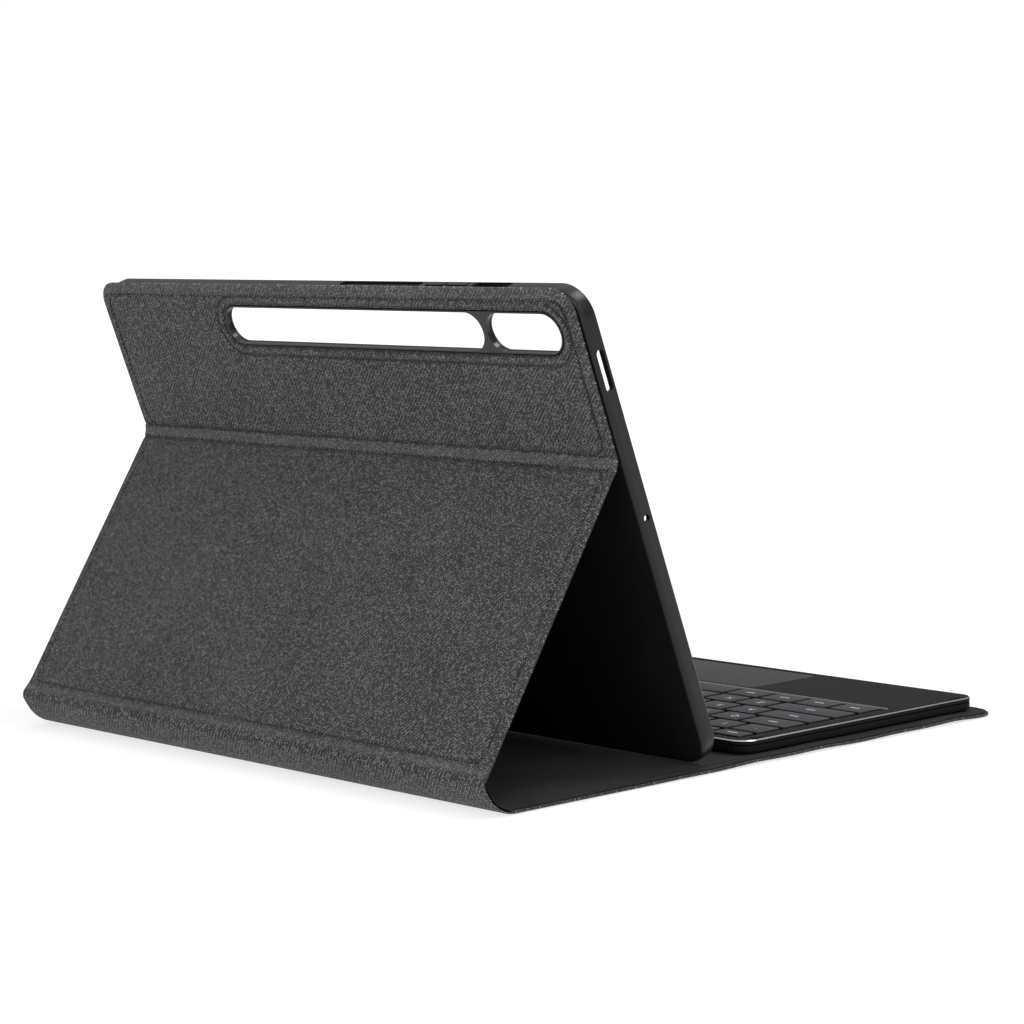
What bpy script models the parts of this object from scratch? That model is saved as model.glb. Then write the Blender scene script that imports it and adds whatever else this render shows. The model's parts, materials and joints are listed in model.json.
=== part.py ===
"""A folio case for a 13-inch tablet with a detachable keyboard, standing open.

Metres, +Z up. X runs across the case, -Y is the side where the user sits, and the origin is the centre of the
footprint on the table. The folio is four panels in a chain: base, spine, leg and the upper panel that carries
the tray. Each panel has its own frame, an empty on its hinge line: +Y runs up the panel, -Z is the outer
fabric side and +Z is the side that faces the tablet or the keyboard.
"""

import math

import bmesh
import bpy
from mathutils import Vector

MM = 0.001

# Stand, worked out along the chain from the base's rear edge
HINGE_Y = 134.5 * MM
BASE_LENGTH = 282.4 * MM
SPINE_LENGTH = 19.0 * MM
LEG_LENGTH = 130.6 * MM
SPINE_ANGLE = math.radians(47.1)
LEG_ANGLE = math.radians(122.4)
TRAY_ANGLE = math.radians(70.1)

# Folio panels
FOLIO_WIDTH = 303.0 * MM
FOLIO_CORNER = 10.0 * MM
UPPER_LENGTH = 71.4 * MM
COVER_Z = (-1.05 * MM, -0.55 * MM)
BOARD_Z = (-0.25 * MM, 0.35 * MM)
LINING_Z = (0.65 * MM, 1.05 * MM)
PANEL_HALF = 1.05 * MM
COVER_GAP = 0.7 * MM
BOARD_GAP = 3.5 * MM
LINING_GAP = 1.4 * MM
BOARD_INSET = 4.5 * MM
LINING_INSET = 0.8 * MM
GAP = 0.3 * MM

# Tray
TRAY_WIDTH = 305.0 * MM
TRAY_TOP = 70.2 * MM
TRAY_FOOT = -130.6 * MM
TRAY_BACK_Z = 1.35 * MM
TRAY_FRONT_Z = 9.05 * MM
TRAY_CORNER = 13.0 * MM
TABLET_WIDTH = 301.0 * MM
TABLET_HEIGHT = 195.2 * MM
TABLET_THICKNESS = 6.1 * MM
BACK_WALL = 0.9 * MM
LIP = 2.0 * MM

# Window in the upper panel, in the tray's frame
WINDOW_LEFT = -142.0 * MM
WINDOW_RIGHT = 66.0 * MM
WINDOW_LOW = 43.9 * MM
WINDOW_HIGH = 62.2 * MM
WINDOW_RIM = 1.1 * MM
BRIDGE_LEFT = -99.9 * MM
BRIDGE_RIGHT = -97.5 * MM

# Keyboard, whose frame is on the table under its centre
KEYBOARD_WIDTH = 290.0 * MM
KEYBOARD_DEPTH = 146.0 * MM
KEYBOARD_Y = -69.0 * MM
KEYBOARD_CORNER = 8.0 * MM
SHELL_Z = (3.0 * MM, 6.0 * MM)
DECK_Z = (6.3 * MM, 8.3 * MM)
SHELL_WALL = 1.2 * MM
SHELL_FLOOR = 1.2 * MM
KEY_Z = (7.4 * MM, 8.6 * MM)
KEY_PITCH = 18.2 * MM
KEY_GAP = 2.4 * MM
ROW_PITCH = 15.6 * MM
FUNCTION_PITCH = 11.2 * MM
KEY_FIELD_WIDTH = 15 * KEY_PITCH
WELL_MARGIN = 1.6 * MM
WELL_REAR_EDGE = 4.5 * MM
TOUCHPAD_SIZE = (112.0 * MM, 43.0 * MM)
TOUCHPAD_FRONT_EDGE = 3.5 * MM
MAGNET_X = 134.0 * MM

ARC_STEPS = 6
ROUND_STEPS = 16

PALETTE = {
    "cover_fabric": ((0.055, 0.055, 0.058), 0.9, 0.0),
    "lining_fabric": ((0.018, 0.018, 0.02), 0.95, 0.0),
    "board": ((0.32, 0.29, 0.25), 0.9, 0.0),
    "soft_shell": ((0.02, 0.02, 0.021), 0.42, 0.0),
    "window_gloss": ((0.012, 0.012, 0.013), 0.2, 0.0),
    "keyboard_plastic": ((0.022, 0.022, 0.024), 0.45, 0.0),
    "key_plastic": ((0.03, 0.03, 0.034), 0.55, 0.0),
    "touchpad_plastic": ((0.06, 0.06, 0.063), 0.35, 0.0),
    "rubber": ((0.012, 0.012, 0.012), 0.8, 0.0),
    "steel": ((0.6, 0.6, 0.62), 0.3, 1.0),
    "magnet": ((0.45, 0.45, 0.47), 0.35, 1.0),
    "circuit": ((0.02, 0.12, 0.06), 0.5, 0.0),
    "battery": ((0.2, 0.2, 0.22), 0.4, 0.0),
    "led": ((0.7, 0.75, 0.7), 0.3, 0.0),
}


def clear_scene():
    for item in list(bpy.data.objects):
        bpy.data.objects.remove(item, do_unlink=True)


def collection(name, hidden=False):
    made = bpy.data.collections.new(name)
    made.hide_render = hidden
    bpy.context.scene.collection.children.link(made)
    return made


def material(slot, name):
    colour, roughness, metallic = PALETTE[slot]
    made = bpy.data.materials.new(name)
    made.use_nodes = True
    shader = made.node_tree.nodes["Principled BSDF"]
    shader.inputs["Base Color"].default_value = (*colour, 1.0)
    shader.inputs["Roughness"].default_value = roughness
    shader.inputs["Metallic"].default_value = metallic
    made.diffuse_color = (*colour, 1.0)
    return made


def frame(name, position, angle=0.0):
    """An empty on a hinge line, turned about X."""
    empty = bpy.data.objects.new(name, None)
    empty.location = position
    empty.rotation_euler = (angle, 0.0, 0.0)
    PARTS.objects.link(empty)
    return empty


def add_object(name, mesh, centre, parent, slot=None, turn=(0.0, 0.0, 0.0)):
    made = bpy.data.objects.new(name, mesh)
    made.location = centre
    made.rotation_euler = turn
    made.parent = parent
    if slot is None:
        CUTTERS.objects.link(made)
        made.hide_render = True
        made.display_type = "WIRE"
    else:
        PARTS.objects.link(made)
        mesh.materials.append(material(slot, name))
    return made


def rounded_outline(width, depth, radii):
    """Points of a rectangle with round corners, counter-clockwise from the (+x, +y) corner."""
    points = []
    signs = ((1, 1), (-1, 1), (-1, -1), (1, -1))
    for corner, (sx, sy) in enumerate(signs):
        radius = max(radii[corner], 0.01 * MM)
        centre = Vector((sx * (width / 2 - radius), sy * (depth / 2 - radius)))
        for step in range(ARC_STEPS + 1):
            angle = math.pi / 2 * (corner + step / ARC_STEPS)
            points.append(centre + radius * Vector((math.cos(angle), math.sin(angle))))
            if radius < 0.1 * MM:
                break
    return points


def outline_mesh(name, points, thickness):
    """A flat outline, extruded by half its thickness to each side."""
    curve = bpy.data.curves.new(name, "CURVE")
    curve.dimensions = "2D"
    curve.fill_mode = "BOTH"
    curve.extrude = thickness / 2
    spline = curve.splines.new("POLY")
    spline.points.add(len(points) - 1)
    for spot, point in zip(spline.points, points):
        spot.co = (point[0], point[1], 0.0, 1.0)
    spline.use_cyclic_u = True
    holder = bpy.data.objects.new(name + "_outline", curve)
    bpy.context.scene.collection.objects.link(holder)
    graph = bpy.context.evaluated_depsgraph_get()
    mesh = bpy.data.meshes.new_from_object(holder.evaluated_get(graph))
    bpy.data.objects.remove(holder, do_unlink=True)
    shape = bmesh.new()
    shape.from_mesh(mesh)
    bmesh.ops.remove_doubles(shape, verts=shape.verts, dist=0.001 * MM)
    bmesh.ops.dissolve_limit(shape, angle_limit=0.01, verts=shape.verts, edges=shape.edges)
    bmesh.ops.recalc_face_normals(shape, faces=shape.faces)
    shape.to_mesh(mesh)
    shape.free()
    mesh.name = name
    return mesh


def edge_bevel(piece, width, segments=2):
    if width:
        bevel = piece.modifiers.new("edges", "BEVEL")
        bevel.width = width
        bevel.segments = segments
        bevel.limit_method = "ANGLE"
        bevel.angle_limit = math.radians(40)


def plate(name, spans, parent, slot=None, radii=(0.0,) * 4, bevel=0.0):
    """A flat piece between the x, y and z limits in spans, with one corner radius or four."""
    (x0, x1), (y0, y1), (z0, z1) = spans
    centre = ((x0 + x1) / 2, (y0 + y1) / 2, (z0 + z1) / 2)
    if isinstance(radii, float):
        radii = (radii,) * 4
    mesh = outline_mesh(name, rounded_outline(x1 - x0, y1 - y0, radii), z1 - z0)
    made = add_object(name, mesh, centre, parent, slot)
    edge_bevel(made, bevel)
    return made


def side_slot(name, y_span, z_span, x, depth, parent, slot=None):
    """A full-round slot that runs along X through a side wall at x."""
    length = y_span[1] - y_span[0]
    height = z_span[1] - z_span[0]
    mesh = outline_mesh(name, rounded_outline(height, length, (min(height, length) / 2 - 0.01 * MM,) * 4), depth)
    centre = (x, sum(y_span) / 2, sum(z_span) / 2)
    return add_object(name, mesh, centre, parent, slot, (0.0, math.pi / 2, 0.0))


def top_slot(name, x_span, z_span, y, depth, parent, slot=None):
    """A full-round slot that runs along Y through the top wall at y."""
    length = x_span[1] - x_span[0]
    height = z_span[1] - z_span[0]
    mesh = outline_mesh(name, rounded_outline(length, height, (min(height, length) / 2 - 0.01 * MM,) * 4), depth)
    centre = (sum(x_span) / 2, y, sum(z_span) / 2)
    return add_object(name, mesh, centre, parent, slot, (math.pi / 2, 0.0, 0.0))


def discs(name, spots, radius, z_span, parent, slot=None):
    """A group of equal upright cylinders, one at each spot."""
    shape = bmesh.new()
    for x, y in spots:
        made = bmesh.ops.create_cone(
            shape, cap_ends=True, segments=ROUND_STEPS, radius1=radius, radius2=radius, depth=z_span[1] - z_span[0]
        )
        bmesh.ops.translate(shape, verts=made["verts"], vec=(x, y, 0.0))
    mesh = bpy.data.meshes.new(name)
    shape.to_mesh(mesh)
    shape.free()
    mesh.shade_smooth()
    mesh.set_sharp_from_angle(angle=math.radians(40))
    return add_object(name, mesh, (0.0, 0.0, sum(z_span) / 2), parent, slot)


def disc_each(name, spots, radius, z_span, parent, slot):
    """One upright cylinder for each spot, as pieces numbered from 1."""
    for number, spot in enumerate(spots, 1):
        made = discs(f"{name}_{number}", [(0.0, 0.0)], radius, z_span, parent, slot)
        made.location.xy = spot


def cut(piece, *cutters):
    for cutter in cutters:
        step = piece.modifiers.new("cut_" + cutter.name, "BOOLEAN")
        step.operation = "DIFFERENCE"
        step.solver = "EXACT"
        step.object = cutter


def panel_x(inset=0.0):
    return (-FOLIO_WIDTH / 2 + inset, FOLIO_WIDTH / 2 - inset)


def make_base():
    parent = frame("base_frame", (0.0, HINGE_Y, PANEL_HALF))
    front = (0.0, 0.0, FOLIO_CORNER, FOLIO_CORNER)
    plate("base_cover", (panel_x(), (-BASE_LENGTH, -COVER_GAP), COVER_Z), parent, "cover_fabric", front)
    board = plate(
        "base_board",
        (panel_x(BOARD_INSET), (BOARD_INSET - BASE_LENGTH, -BOARD_GAP), BOARD_Z),
        parent,
        "board",
        (0.0, 0.0, 6.0 * MM, 6.0 * MM),
    )
    lining_front = (0.0, 0.0, FOLIO_CORNER - LINING_INSET, FOLIO_CORNER - LINING_INSET)
    plate(
        "base_lining",
        (panel_x(LINING_INSET), (LINING_INSET - BASE_LENGTH, -LINING_GAP), LINING_Z),
        parent,
        "lining_fabric",
        lining_front,
    )
    foot_row = -94.0 * MM
    keyboard_row = KEYBOARD_Y - HINGE_Y
    spots = [(x, y) for y in (foot_row, keyboard_row) for x in (-MAGNET_X, MAGNET_X)]
    cut(board, discs("magnet_holes", spots, 5.6 * MM, (-3.0 * MM, 3.0 * MM), parent))
    disc_each("base_magnet", spots, 5.0 * MM, BOARD_Z, parent, "magnet")


def make_spine():
    parent = frame("spine_frame", (0.0, HINGE_Y, PANEL_HALF), SPINE_ANGLE)
    plate("spine_cover", (panel_x(), (COVER_GAP, SPINE_LENGTH - COVER_GAP), COVER_Z), parent, "cover_fabric")
    board_y = (BOARD_GAP, SPINE_LENGTH - BOARD_GAP)
    plate("spine_board", (panel_x(BOARD_INSET), board_y, BOARD_Z), parent, "board")
    lining_y = (LINING_GAP, SPINE_LENGTH - LINING_GAP)
    plate("spine_lining", (panel_x(LINING_INSET), lining_y, LINING_Z), parent, "lining_fabric")


def leg_hinge():
    return Vector(
        (0.0, HINGE_Y + SPINE_LENGTH * math.cos(SPINE_ANGLE), PANEL_HALF + SPINE_LENGTH * math.sin(SPINE_ANGLE))
    )


def fold_hinge():
    return leg_hinge() + LEG_LENGTH * Vector((0.0, math.cos(LEG_ANGLE), math.sin(LEG_ANGLE)))


def make_leg():
    parent = frame("leg_frame", leg_hinge(), LEG_ANGLE)
    plate("leg_cover", (panel_x(), (COVER_GAP, LEG_LENGTH - COVER_GAP), COVER_Z), parent, "cover_fabric")
    board_y = (BOARD_GAP, LEG_LENGTH - BOARD_GAP)
    plate("leg_board", (panel_x(BOARD_INSET), board_y, BOARD_Z), parent, "board")
    lining_y = (LINING_GAP, LEG_LENGTH - LINING_GAP)
    plate("leg_lining", (panel_x(LINING_INSET), lining_y, LINING_Z), parent, "lining_fabric")


def window_block(name, x_span, z_span, parent, clearance, slot=None):
    """A full-round block over a stretch of the window row, grown by the clearance."""
    spans = (
        (x_span[0] - clearance, x_span[1] + clearance),
        (WINDOW_LOW - clearance, WINDOW_HIGH + clearance),
        z_span,
    )
    radius = (spans[1][1] - spans[1][0]) / 2 - 0.01 * MM
    return plate(name, spans, parent, slot, radius)


def make_upper_panel(parent):
    top = (FOLIO_CORNER, FOLIO_CORNER, 0.0, 0.0)
    through = (-3.0 * MM, 3.0 * MM)
    window = (WINDOW_LEFT, WINDOW_RIGHT)
    cover = plate("upper_cover", (panel_x(), (COVER_GAP, UPPER_LENGTH), COVER_Z), parent, "cover_fabric", top)
    board_spans = (panel_x(BOARD_INSET), (BOARD_GAP, UPPER_LENGTH - BOARD_INSET), BOARD_Z)
    board = plate("upper_board", board_spans, parent, "board", (6.0 * MM, 6.0 * MM, 0.0, 0.0))
    glue_spans = (panel_x(BOARD_INSET), (BOARD_GAP, TRAY_TOP - BOARD_INSET), LINING_Z)
    glue = plate("tray_adhesive", glue_spans, parent, "rubber", (6.0 * MM, 6.0 * MM, 0.0, 0.0))
    cut(cover, window_block("cover_window", window, through, parent, 0.0))
    cut(board, window_block("board_window", window, through, parent, 1.0 * MM))
    cut(glue, window_block("adhesive_window", window, through, parent, 1.0 * MM))


def make_window_frame(parent):
    """The glossy frame that fills the fabric's cut-out, with a pen window and a camera window."""
    through = (-3.0 * MM, 3.0 * MM)
    frame_z = (COVER_Z[0] + 0.2 * MM, LINING_Z[1])
    surround = window_block("window_frame", (WINDOW_LEFT, WINDOW_RIGHT), frame_z, parent, -GAP, "window_gloss")
    pen = (BRIDGE_RIGHT - WINDOW_RIM, WINDOW_RIGHT)
    camera = (WINDOW_LEFT, BRIDGE_LEFT + WINDOW_RIM)
    cut(
        surround,
        window_block("frame_pen_window", pen, through, parent, -WINDOW_RIM),
        window_block("frame_camera_window", camera, through, parent, -WINDOW_RIM),
    )


def tray_block(name, x_inset, y_inset, z_span, radius, parent, slot=None, bevel=0.0):
    spans = (
        (-TRAY_WIDTH / 2 + x_inset, TRAY_WIDTH / 2 - x_inset),
        (TRAY_FOOT + y_inset, TRAY_TOP - y_inset),
        z_span,
    )
    return plate(name, spans, parent, slot, radius, bevel)


def make_tray_shell(parent):
    shell = tray_block(
        "tray_shell", 0.0, 0.0, (TRAY_BACK_Z, TRAY_FRONT_Z), TRAY_CORNER, parent, "soft_shell", 1.1 * MM
    )
    side = (TRAY_WIDTH - TABLET_WIDTH) / 2
    rim = (TRAY_TOP - TRAY_FOOT - TABLET_HEIGHT) / 2
    pocket_z = (TRAY_BACK_Z + BACK_WALL, TRAY_BACK_Z + BACK_WALL + TABLET_THICKNESS)
    pocket = tray_block("tray_pocket", side, rim, pocket_z, TRAY_CORNER - side, parent)
    mouth_z = (pocket_z[1] - 0.5 * MM, TRAY_FRONT_Z + 3.0 * MM)
    mouth = tray_block("tray_mouth", side + LIP, rim + LIP, mouth_z, TRAY_CORNER - side - LIP, parent)
    through = (TRAY_BACK_Z - 2.0 * MM, pocket_z[0] + 2.0 * MM)
    pen = window_block("pen_window", (BRIDGE_RIGHT - WINDOW_RIM, WINDOW_RIGHT), through, parent, -WINDOW_RIM)
    camera = window_block("camera_window", (WINDOW_LEFT, BRIDGE_LEFT + WINDOW_RIM), through, parent, -WINDOW_RIM)
    middle = (pocket_z[0] + pocket_z[1]) / 2
    wall = 12.0 * MM
    left = -TRAY_WIDTH / 2
    speaker = (middle - 1.9 * MM, middle + 1.9 * MM)
    port = (middle - 3.0 * MM, middle + 3.0 * MM)
    port_y = (TRAY_TOP + TRAY_FOOT) / 2
    cut(
        shell,
        pocket,
        mouth,
        pen,
        camera,
        side_slot("left_speaker_slot", (27.7 * MM, 44.7 * MM), speaker, left, wall, parent),
        side_slot("right_speaker_slot", (27.7 * MM, 44.7 * MM), speaker, -left, wall, parent),
        side_slot(
            "microphone_hole", (-26.3 * MM, -23.3 * MM), (middle - 1.5 * MM, middle + 1.5 * MM), left, wall, parent
        ),
        side_slot("charging_cutout", (port_y - 7.0 * MM, port_y + 7.0 * MM), port, -left, wall, parent),
        top_slot("power_key_cutout", (-113.8 * MM, -92.0 * MM), port, TRAY_TOP, wall, parent),
        top_slot("top_recess", (-62.0 * MM, -12.0 * MM), speaker, TRAY_TOP, 1.6 * MM, parent),
    )
    button_z = (middle - 1.6 * MM, middle + 1.6 * MM)
    for name, x_span in (("volume_up", (-89.2, -77.6)), ("volume_down", (-76.4, -64.8))):
        x_mm = (x_span[0] * MM, x_span[1] * MM)
        hole_x = (x_mm[0] - GAP, x_mm[1] + GAP)
        hole_z = (button_z[0] - GAP, button_z[1] + GAP)
        cut(shell, top_slot(name + "_hole", hole_x, hole_z, TRAY_TOP, wall, parent))
        top_slot(name + "_button", x_mm, button_z, TRAY_TOP - rim / 2 + 0.3 * MM, rim + 0.4 * MM, parent, "soft_shell")


def make_tray():
    parent = frame("tray_frame", fold_hinge(), TRAY_ANGLE)
    make_upper_panel(parent)
    make_window_frame(parent)
    make_tray_shell(parent)


def keyboard_block(name, inset, z_span, parent, slot=None, bevel=0.0):
    spans = (
        (-KEYBOARD_WIDTH / 2 + inset, KEYBOARD_WIDTH / 2 - inset),
        (-KEYBOARD_DEPTH / 2 + inset, KEYBOARD_DEPTH / 2 - inset),
        z_span,
    )
    return plate(name, spans, parent, slot, KEYBOARD_CORNER - inset, bevel)


def well_spans():
    """The x and y limits of the key well."""
    rear = KEYBOARD_DEPTH / 2 - WELL_REAR_EDGE
    field = 5 * ROW_PITCH + FUNCTION_PITCH
    half = KEY_FIELD_WIDTH / 2 + WELL_MARGIN
    return (-half, half), (rear - field - 2 * WELL_MARGIN, rear)


def touchpad_spans(clearance=0.0):
    front = -KEYBOARD_DEPTH / 2 + TOUCHPAD_FRONT_EDGE
    width, depth = TOUCHPAD_SIZE
    return (-width / 2 - clearance, width / 2 + clearance), (front - clearance, front + depth + clearance)


def mirrored(x, y):
    return [(-x, -y), (x, -y), (-x, y), (x, y)]


def screw_spots():
    return mirrored(139.0 * MM, 50.0 * MM) + [(0.0, -KEYBOARD_DEPTH / 2 + 6.0 * MM), (0.0, 30.0 * MM)]


def make_keyboard_case(parent):
    shell = keyboard_block("keyboard_bottom_shell", 0.0, SHELL_Z, parent, "keyboard_plastic", 0.6 * MM)
    deck = keyboard_block("keyboard_deck", 0.0, DECK_Z, parent, "keyboard_plastic", 0.6 * MM)
    cavity = keyboard_block("shell_cavity", SHELL_WALL, (SHELL_Z[0] + SHELL_FLOOR, SHELL_Z[1] + 2.0 * MM), parent)
    well_x, well_y = well_spans()
    tall = (DECK_Z[0] - 3.0 * MM, DECK_Z[1] + 3.0 * MM)
    well = plate("key_well", (well_x, well_y, tall), parent, None, 2.5 * MM)
    pad_hole = plate("touchpad_hole", (*touchpad_spans(0.4 * MM), tall), parent, None, 3.4 * MM)
    feet = mirrored(128.0 * MM, 62.0 * MM)
    foot_pockets = discs("foot_pockets", feet, 5.3 * MM, (SHELL_Z[0] - 1.0 * MM, SHELL_Z[0] + 0.5 * MM), parent)
    disc_each("keyboard_foot", feet, 5.0 * MM, (SHELL_Z[0] - 0.6 * MM, SHELL_Z[0] + 0.2 * MM), parent, "rubber")
    screws = screw_spots()
    screw_holes = discs("screw_holes", screws, 1.5 * MM, (SHELL_Z[0] - 1.0 * MM, SHELL_Z[1]), parent)
    disc_each("shell_screw", screws, 1.2 * MM, (SHELL_Z[0] + 0.1 * MM, SHELL_Z[1] - 0.7 * MM), parent, "steel")
    cut(shell, cavity, foot_pockets, screw_holes)
    cut(deck, well, pad_hole)
    make_bumpers(deck, parent)
    make_side_ports(shell, deck, parent)


def make_bumpers(deck, parent):
    """Four small pads that keep the tablet's glass off the keys when the case is shut."""
    for number, (x, y) in enumerate(mirrored(141.4 * MM, 62.0 * MM), 1):
        pocket = ((x - 1.1 * MM, x + 1.1 * MM), (y - 3.4 * MM, y + 3.4 * MM), (DECK_Z[1] - 0.8 * MM, 10.0 * MM))
        cut(deck, plate(f"bumper_pocket_{number}", pocket, parent, None, 1.05 * MM))
        pad = ((x - 0.8 * MM, x + 0.8 * MM), (y - 3.1 * MM, y + 3.1 * MM), (DECK_Z[1] - 0.5 * MM, 8.9 * MM))
        plate(f"rubber_bumper_{number}", pad, parent, "rubber", 0.78 * MM, 0.2 * MM)


def make_side_ports(shell, deck, parent):
    """The charging port and the power switch, both on the right edge."""
    edge = KEYBOARD_WIDTH / 2
    port_y = (-41.0 * MM, -32.0 * MM)
    port_z = (4.3 * MM, 7.5 * MM)
    cutter_y = (port_y[0] - GAP, port_y[1] + GAP)
    cutter_z = (port_z[0] - GAP, port_z[1] + GAP)
    for piece, name in ((shell, "shell_port_hole"), (deck, "deck_port_hole")):
        cut(piece, side_slot(name, cutter_y, cutter_z, edge - 3.0 * MM, 9.0 * MM, parent))
    ring = side_slot("usb_c_port", port_y, port_z, edge - 3.3 * MM, 6.4 * MM, parent, "steel")
    inside_y = (port_y[0] + 0.5 * MM, port_y[1] - 0.5 * MM)
    inside_z = (port_z[0] + 0.5 * MM, port_z[1] - 0.5 * MM)
    cut(ring, side_slot("port_inside", inside_y, inside_z, edge, 9.0 * MM, parent))
    notch = ((edge - 4.0 * MM, edge + 2.0 * MM), (-28.0 * MM, -18.0 * MM), (4.4 * MM, SHELL_Z[1] + 1.0 * MM))
    cut(shell, plate("switch_notch", notch, parent))
    knob = ((edge - 1.6 * MM, edge + 0.5 * MM), (-27.4 * MM, -22.4 * MM), (4.7 * MM, 6.0 * MM))
    plate("power_switch", knob, parent, "key_plastic", 0.0, 0.2 * MM)


def make_keyboard_inside(parent):
    well_x, well_y = well_spans()
    inner = KEYBOARD_WIDTH / 2 - SHELL_WALL - 1.0 * MM
    plate_y = (well_y[0] - 1.0 * MM, KEYBOARD_DEPTH / 2 - SHELL_WALL - 1.0 * MM)
    plate_z = (5.65 * MM, SHELL_Z[1])
    plate("key_plate", ((-inner, inner), plate_y, plate_z), parent, "steel", 4.0 * MM)
    board_x = (30.0 * MM, 128.0 * MM)
    plate("circuit_board", (board_x, (-60.0 * MM, 40.0 * MM), (4.5 * MM, 5.3 * MM)), parent, "circuit", 2.0 * MM)
    battery_x = (-120.0 * MM, -10.0 * MM)
    plate("battery", (battery_x, (-60.0 * MM, 40.0 * MM), (4.5 * MM, 5.3 * MM)), parent, "battery", 2.0 * MM)
    magnets = [(-MAGNET_X, 0.0), (MAGNET_X, 0.0)]
    disc_each("keyboard_magnet", magnets, 4.0 * MM, (4.5 * MM, 5.3 * MM), parent, "magnet")


def make_lamp(parent):
    """One lens bar for the status lamps, in a slot behind the keys."""
    middle = (75.0 * MM, KEYBOARD_DEPTH / 2 - 2.3 * MM)
    half = (6.0 * MM, 0.6 * MM)
    spans = ((middle[0] - half[0], middle[0] + half[0]), (middle[1] - half[1], middle[1] + half[1]))
    grown = tuple((low - GAP, high + GAP) for low, high in spans)
    deck = bpy.data.objects["keyboard_deck"]
    cut(deck, plate("lamp_slot", (*grown, (DECK_Z[0] - 1.0 * MM, 10.0 * MM)), parent, None, 0.85 * MM))
    plate("status_lamp_lens", (*spans, (6.4 * MM, 8.2 * MM)), parent, "led", 0.58 * MM)


def key_block(name, keys, parent):
    """Tapered caps, joined by a rib under them; each is (x0, x1, y0, y1) with the gap already taken off."""
    shape = bmesh.new()
    height = KEY_Z[1] - KEY_Z[0]
    taper = 0.5 * MM
    for x0, x1, y0, y1 in keys:
        made = bmesh.ops.create_cube(shape, size=1.0)["verts"]
        for vert in made:
            inset = taper if vert.co.z > 0 else 0.0
            vert.co.x = math.copysign((x1 - x0) / 2 - inset, vert.co.x) + (x0 + x1) / 2
            vert.co.y = math.copysign((y1 - y0) / 2 - inset, vert.co.y) + (y0 + y1) / 2
            vert.co.z *= height
    mesh = bpy.data.meshes.new(name)
    shape.to_mesh(mesh)
    shape.free()
    caps = add_object(name, mesh, (0.0, 0.0, sum(KEY_Z) / 2), parent, "key_plastic")
    if len(keys) > 1:
        join_runs(caps, keys, parent)


def join_runs(caps, keys, parent):
    """A thin rib under each unbroken run of keys of the same row."""
    y = (keys[0][2] + keys[0][3]) / 2
    spans = ((keys[0][0] + 1.0 * MM, keys[-1][1] - 1.0 * MM), (y - 1.0 * MM, y + 1.0 * MM))
    rib = plate(caps.name + "_rib", (*spans, (KEY_Z[0] + 0.1 * MM, KEY_Z[0] + 0.5 * MM)), parent)
    step = caps.modifiers.new("rib", "BOOLEAN")
    step.operation = "UNION"
    step.solver = "EXACT"
    step.object = rib


def key_rows():
    """Row name, and its keys as (name of a wide key or None, width in key units), left to right."""
    return [
        ("function_keys", [(None, 1.0)] * 15),
        ("number_keys", [(None, 1.0)] * 13 + [("backspace_key", 2.0)]),
        ("top_letter_keys", [("tab_key", 1.5)] + [(None, 1.0)] * 12 + [(None, 1.5)]),
        ("home_letter_keys", [("caps_key", 1.8)] + [(None, 1.0)] * 11 + [("enter_key", 2.2)]),
        ("bottom_letter_keys", [("left_shift_key", 2.3)] + [(None, 1.0)] * 10 + [("right_shift_key", 2.7)]),
        ("modifier_keys", [(None, 1.1)] * 4 + [("space_bar", 5.6)] + [(None, 1.0)] * 5),
    ]


def make_keys(parent):
    rear = KEYBOARD_DEPTH / 2 - WELL_REAR_EDGE - WELL_MARGIN
    for row_name, row in key_rows():
        pitch = FUNCTION_PITCH if row_name == "function_keys" else ROW_PITCH
        left = -KEY_FIELD_WIDTH / 2
        runs = [[]]
        for name, units in row:
            right = left + units * KEY_PITCH
            spans = (left + KEY_GAP / 2, right - KEY_GAP / 2, rear - pitch + KEY_GAP / 2, rear - KEY_GAP / 2)
            if name:
                key_block(name, [spans], parent)
                runs.append([])
            else:
                runs[-1].append(spans)
            left = right
        runs = [run for run in runs if run]
        names = [row_name] if len(runs) == 1 else ["left_" + row_name, "right_" + row_name]
        for run_name, run in zip(names, runs):
            key_block(run_name, run, parent)
        rear -= pitch


def make_keyboard():
    parent = frame("keyboard_frame", (0.0, KEYBOARD_Y, 0.0))
    make_keyboard_case(parent)
    make_keyboard_inside(parent)
    make_lamp(parent)
    pad_z = (6.8 * MM, 8.15 * MM)
    plate("touchpad", (*touchpad_spans(), pad_z), parent, "touchpad_plastic", 3.0 * MM, 0.15 * MM)
    make_keys(parent)


clear_scene()
PARTS = collection("tablet_keyboard_case")
CUTTERS = collection("cutters", hidden=True)
make_base()
make_spine()
make_leg()
make_tray()
make_keyboard()
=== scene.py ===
"""The looks of the tablet keyboard case: its woven folio, moulded tray and keyboard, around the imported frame."""

import json
import math

import bmesh
import bpy
import numpy as np
from mathutils import Matrix, Vector


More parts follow.
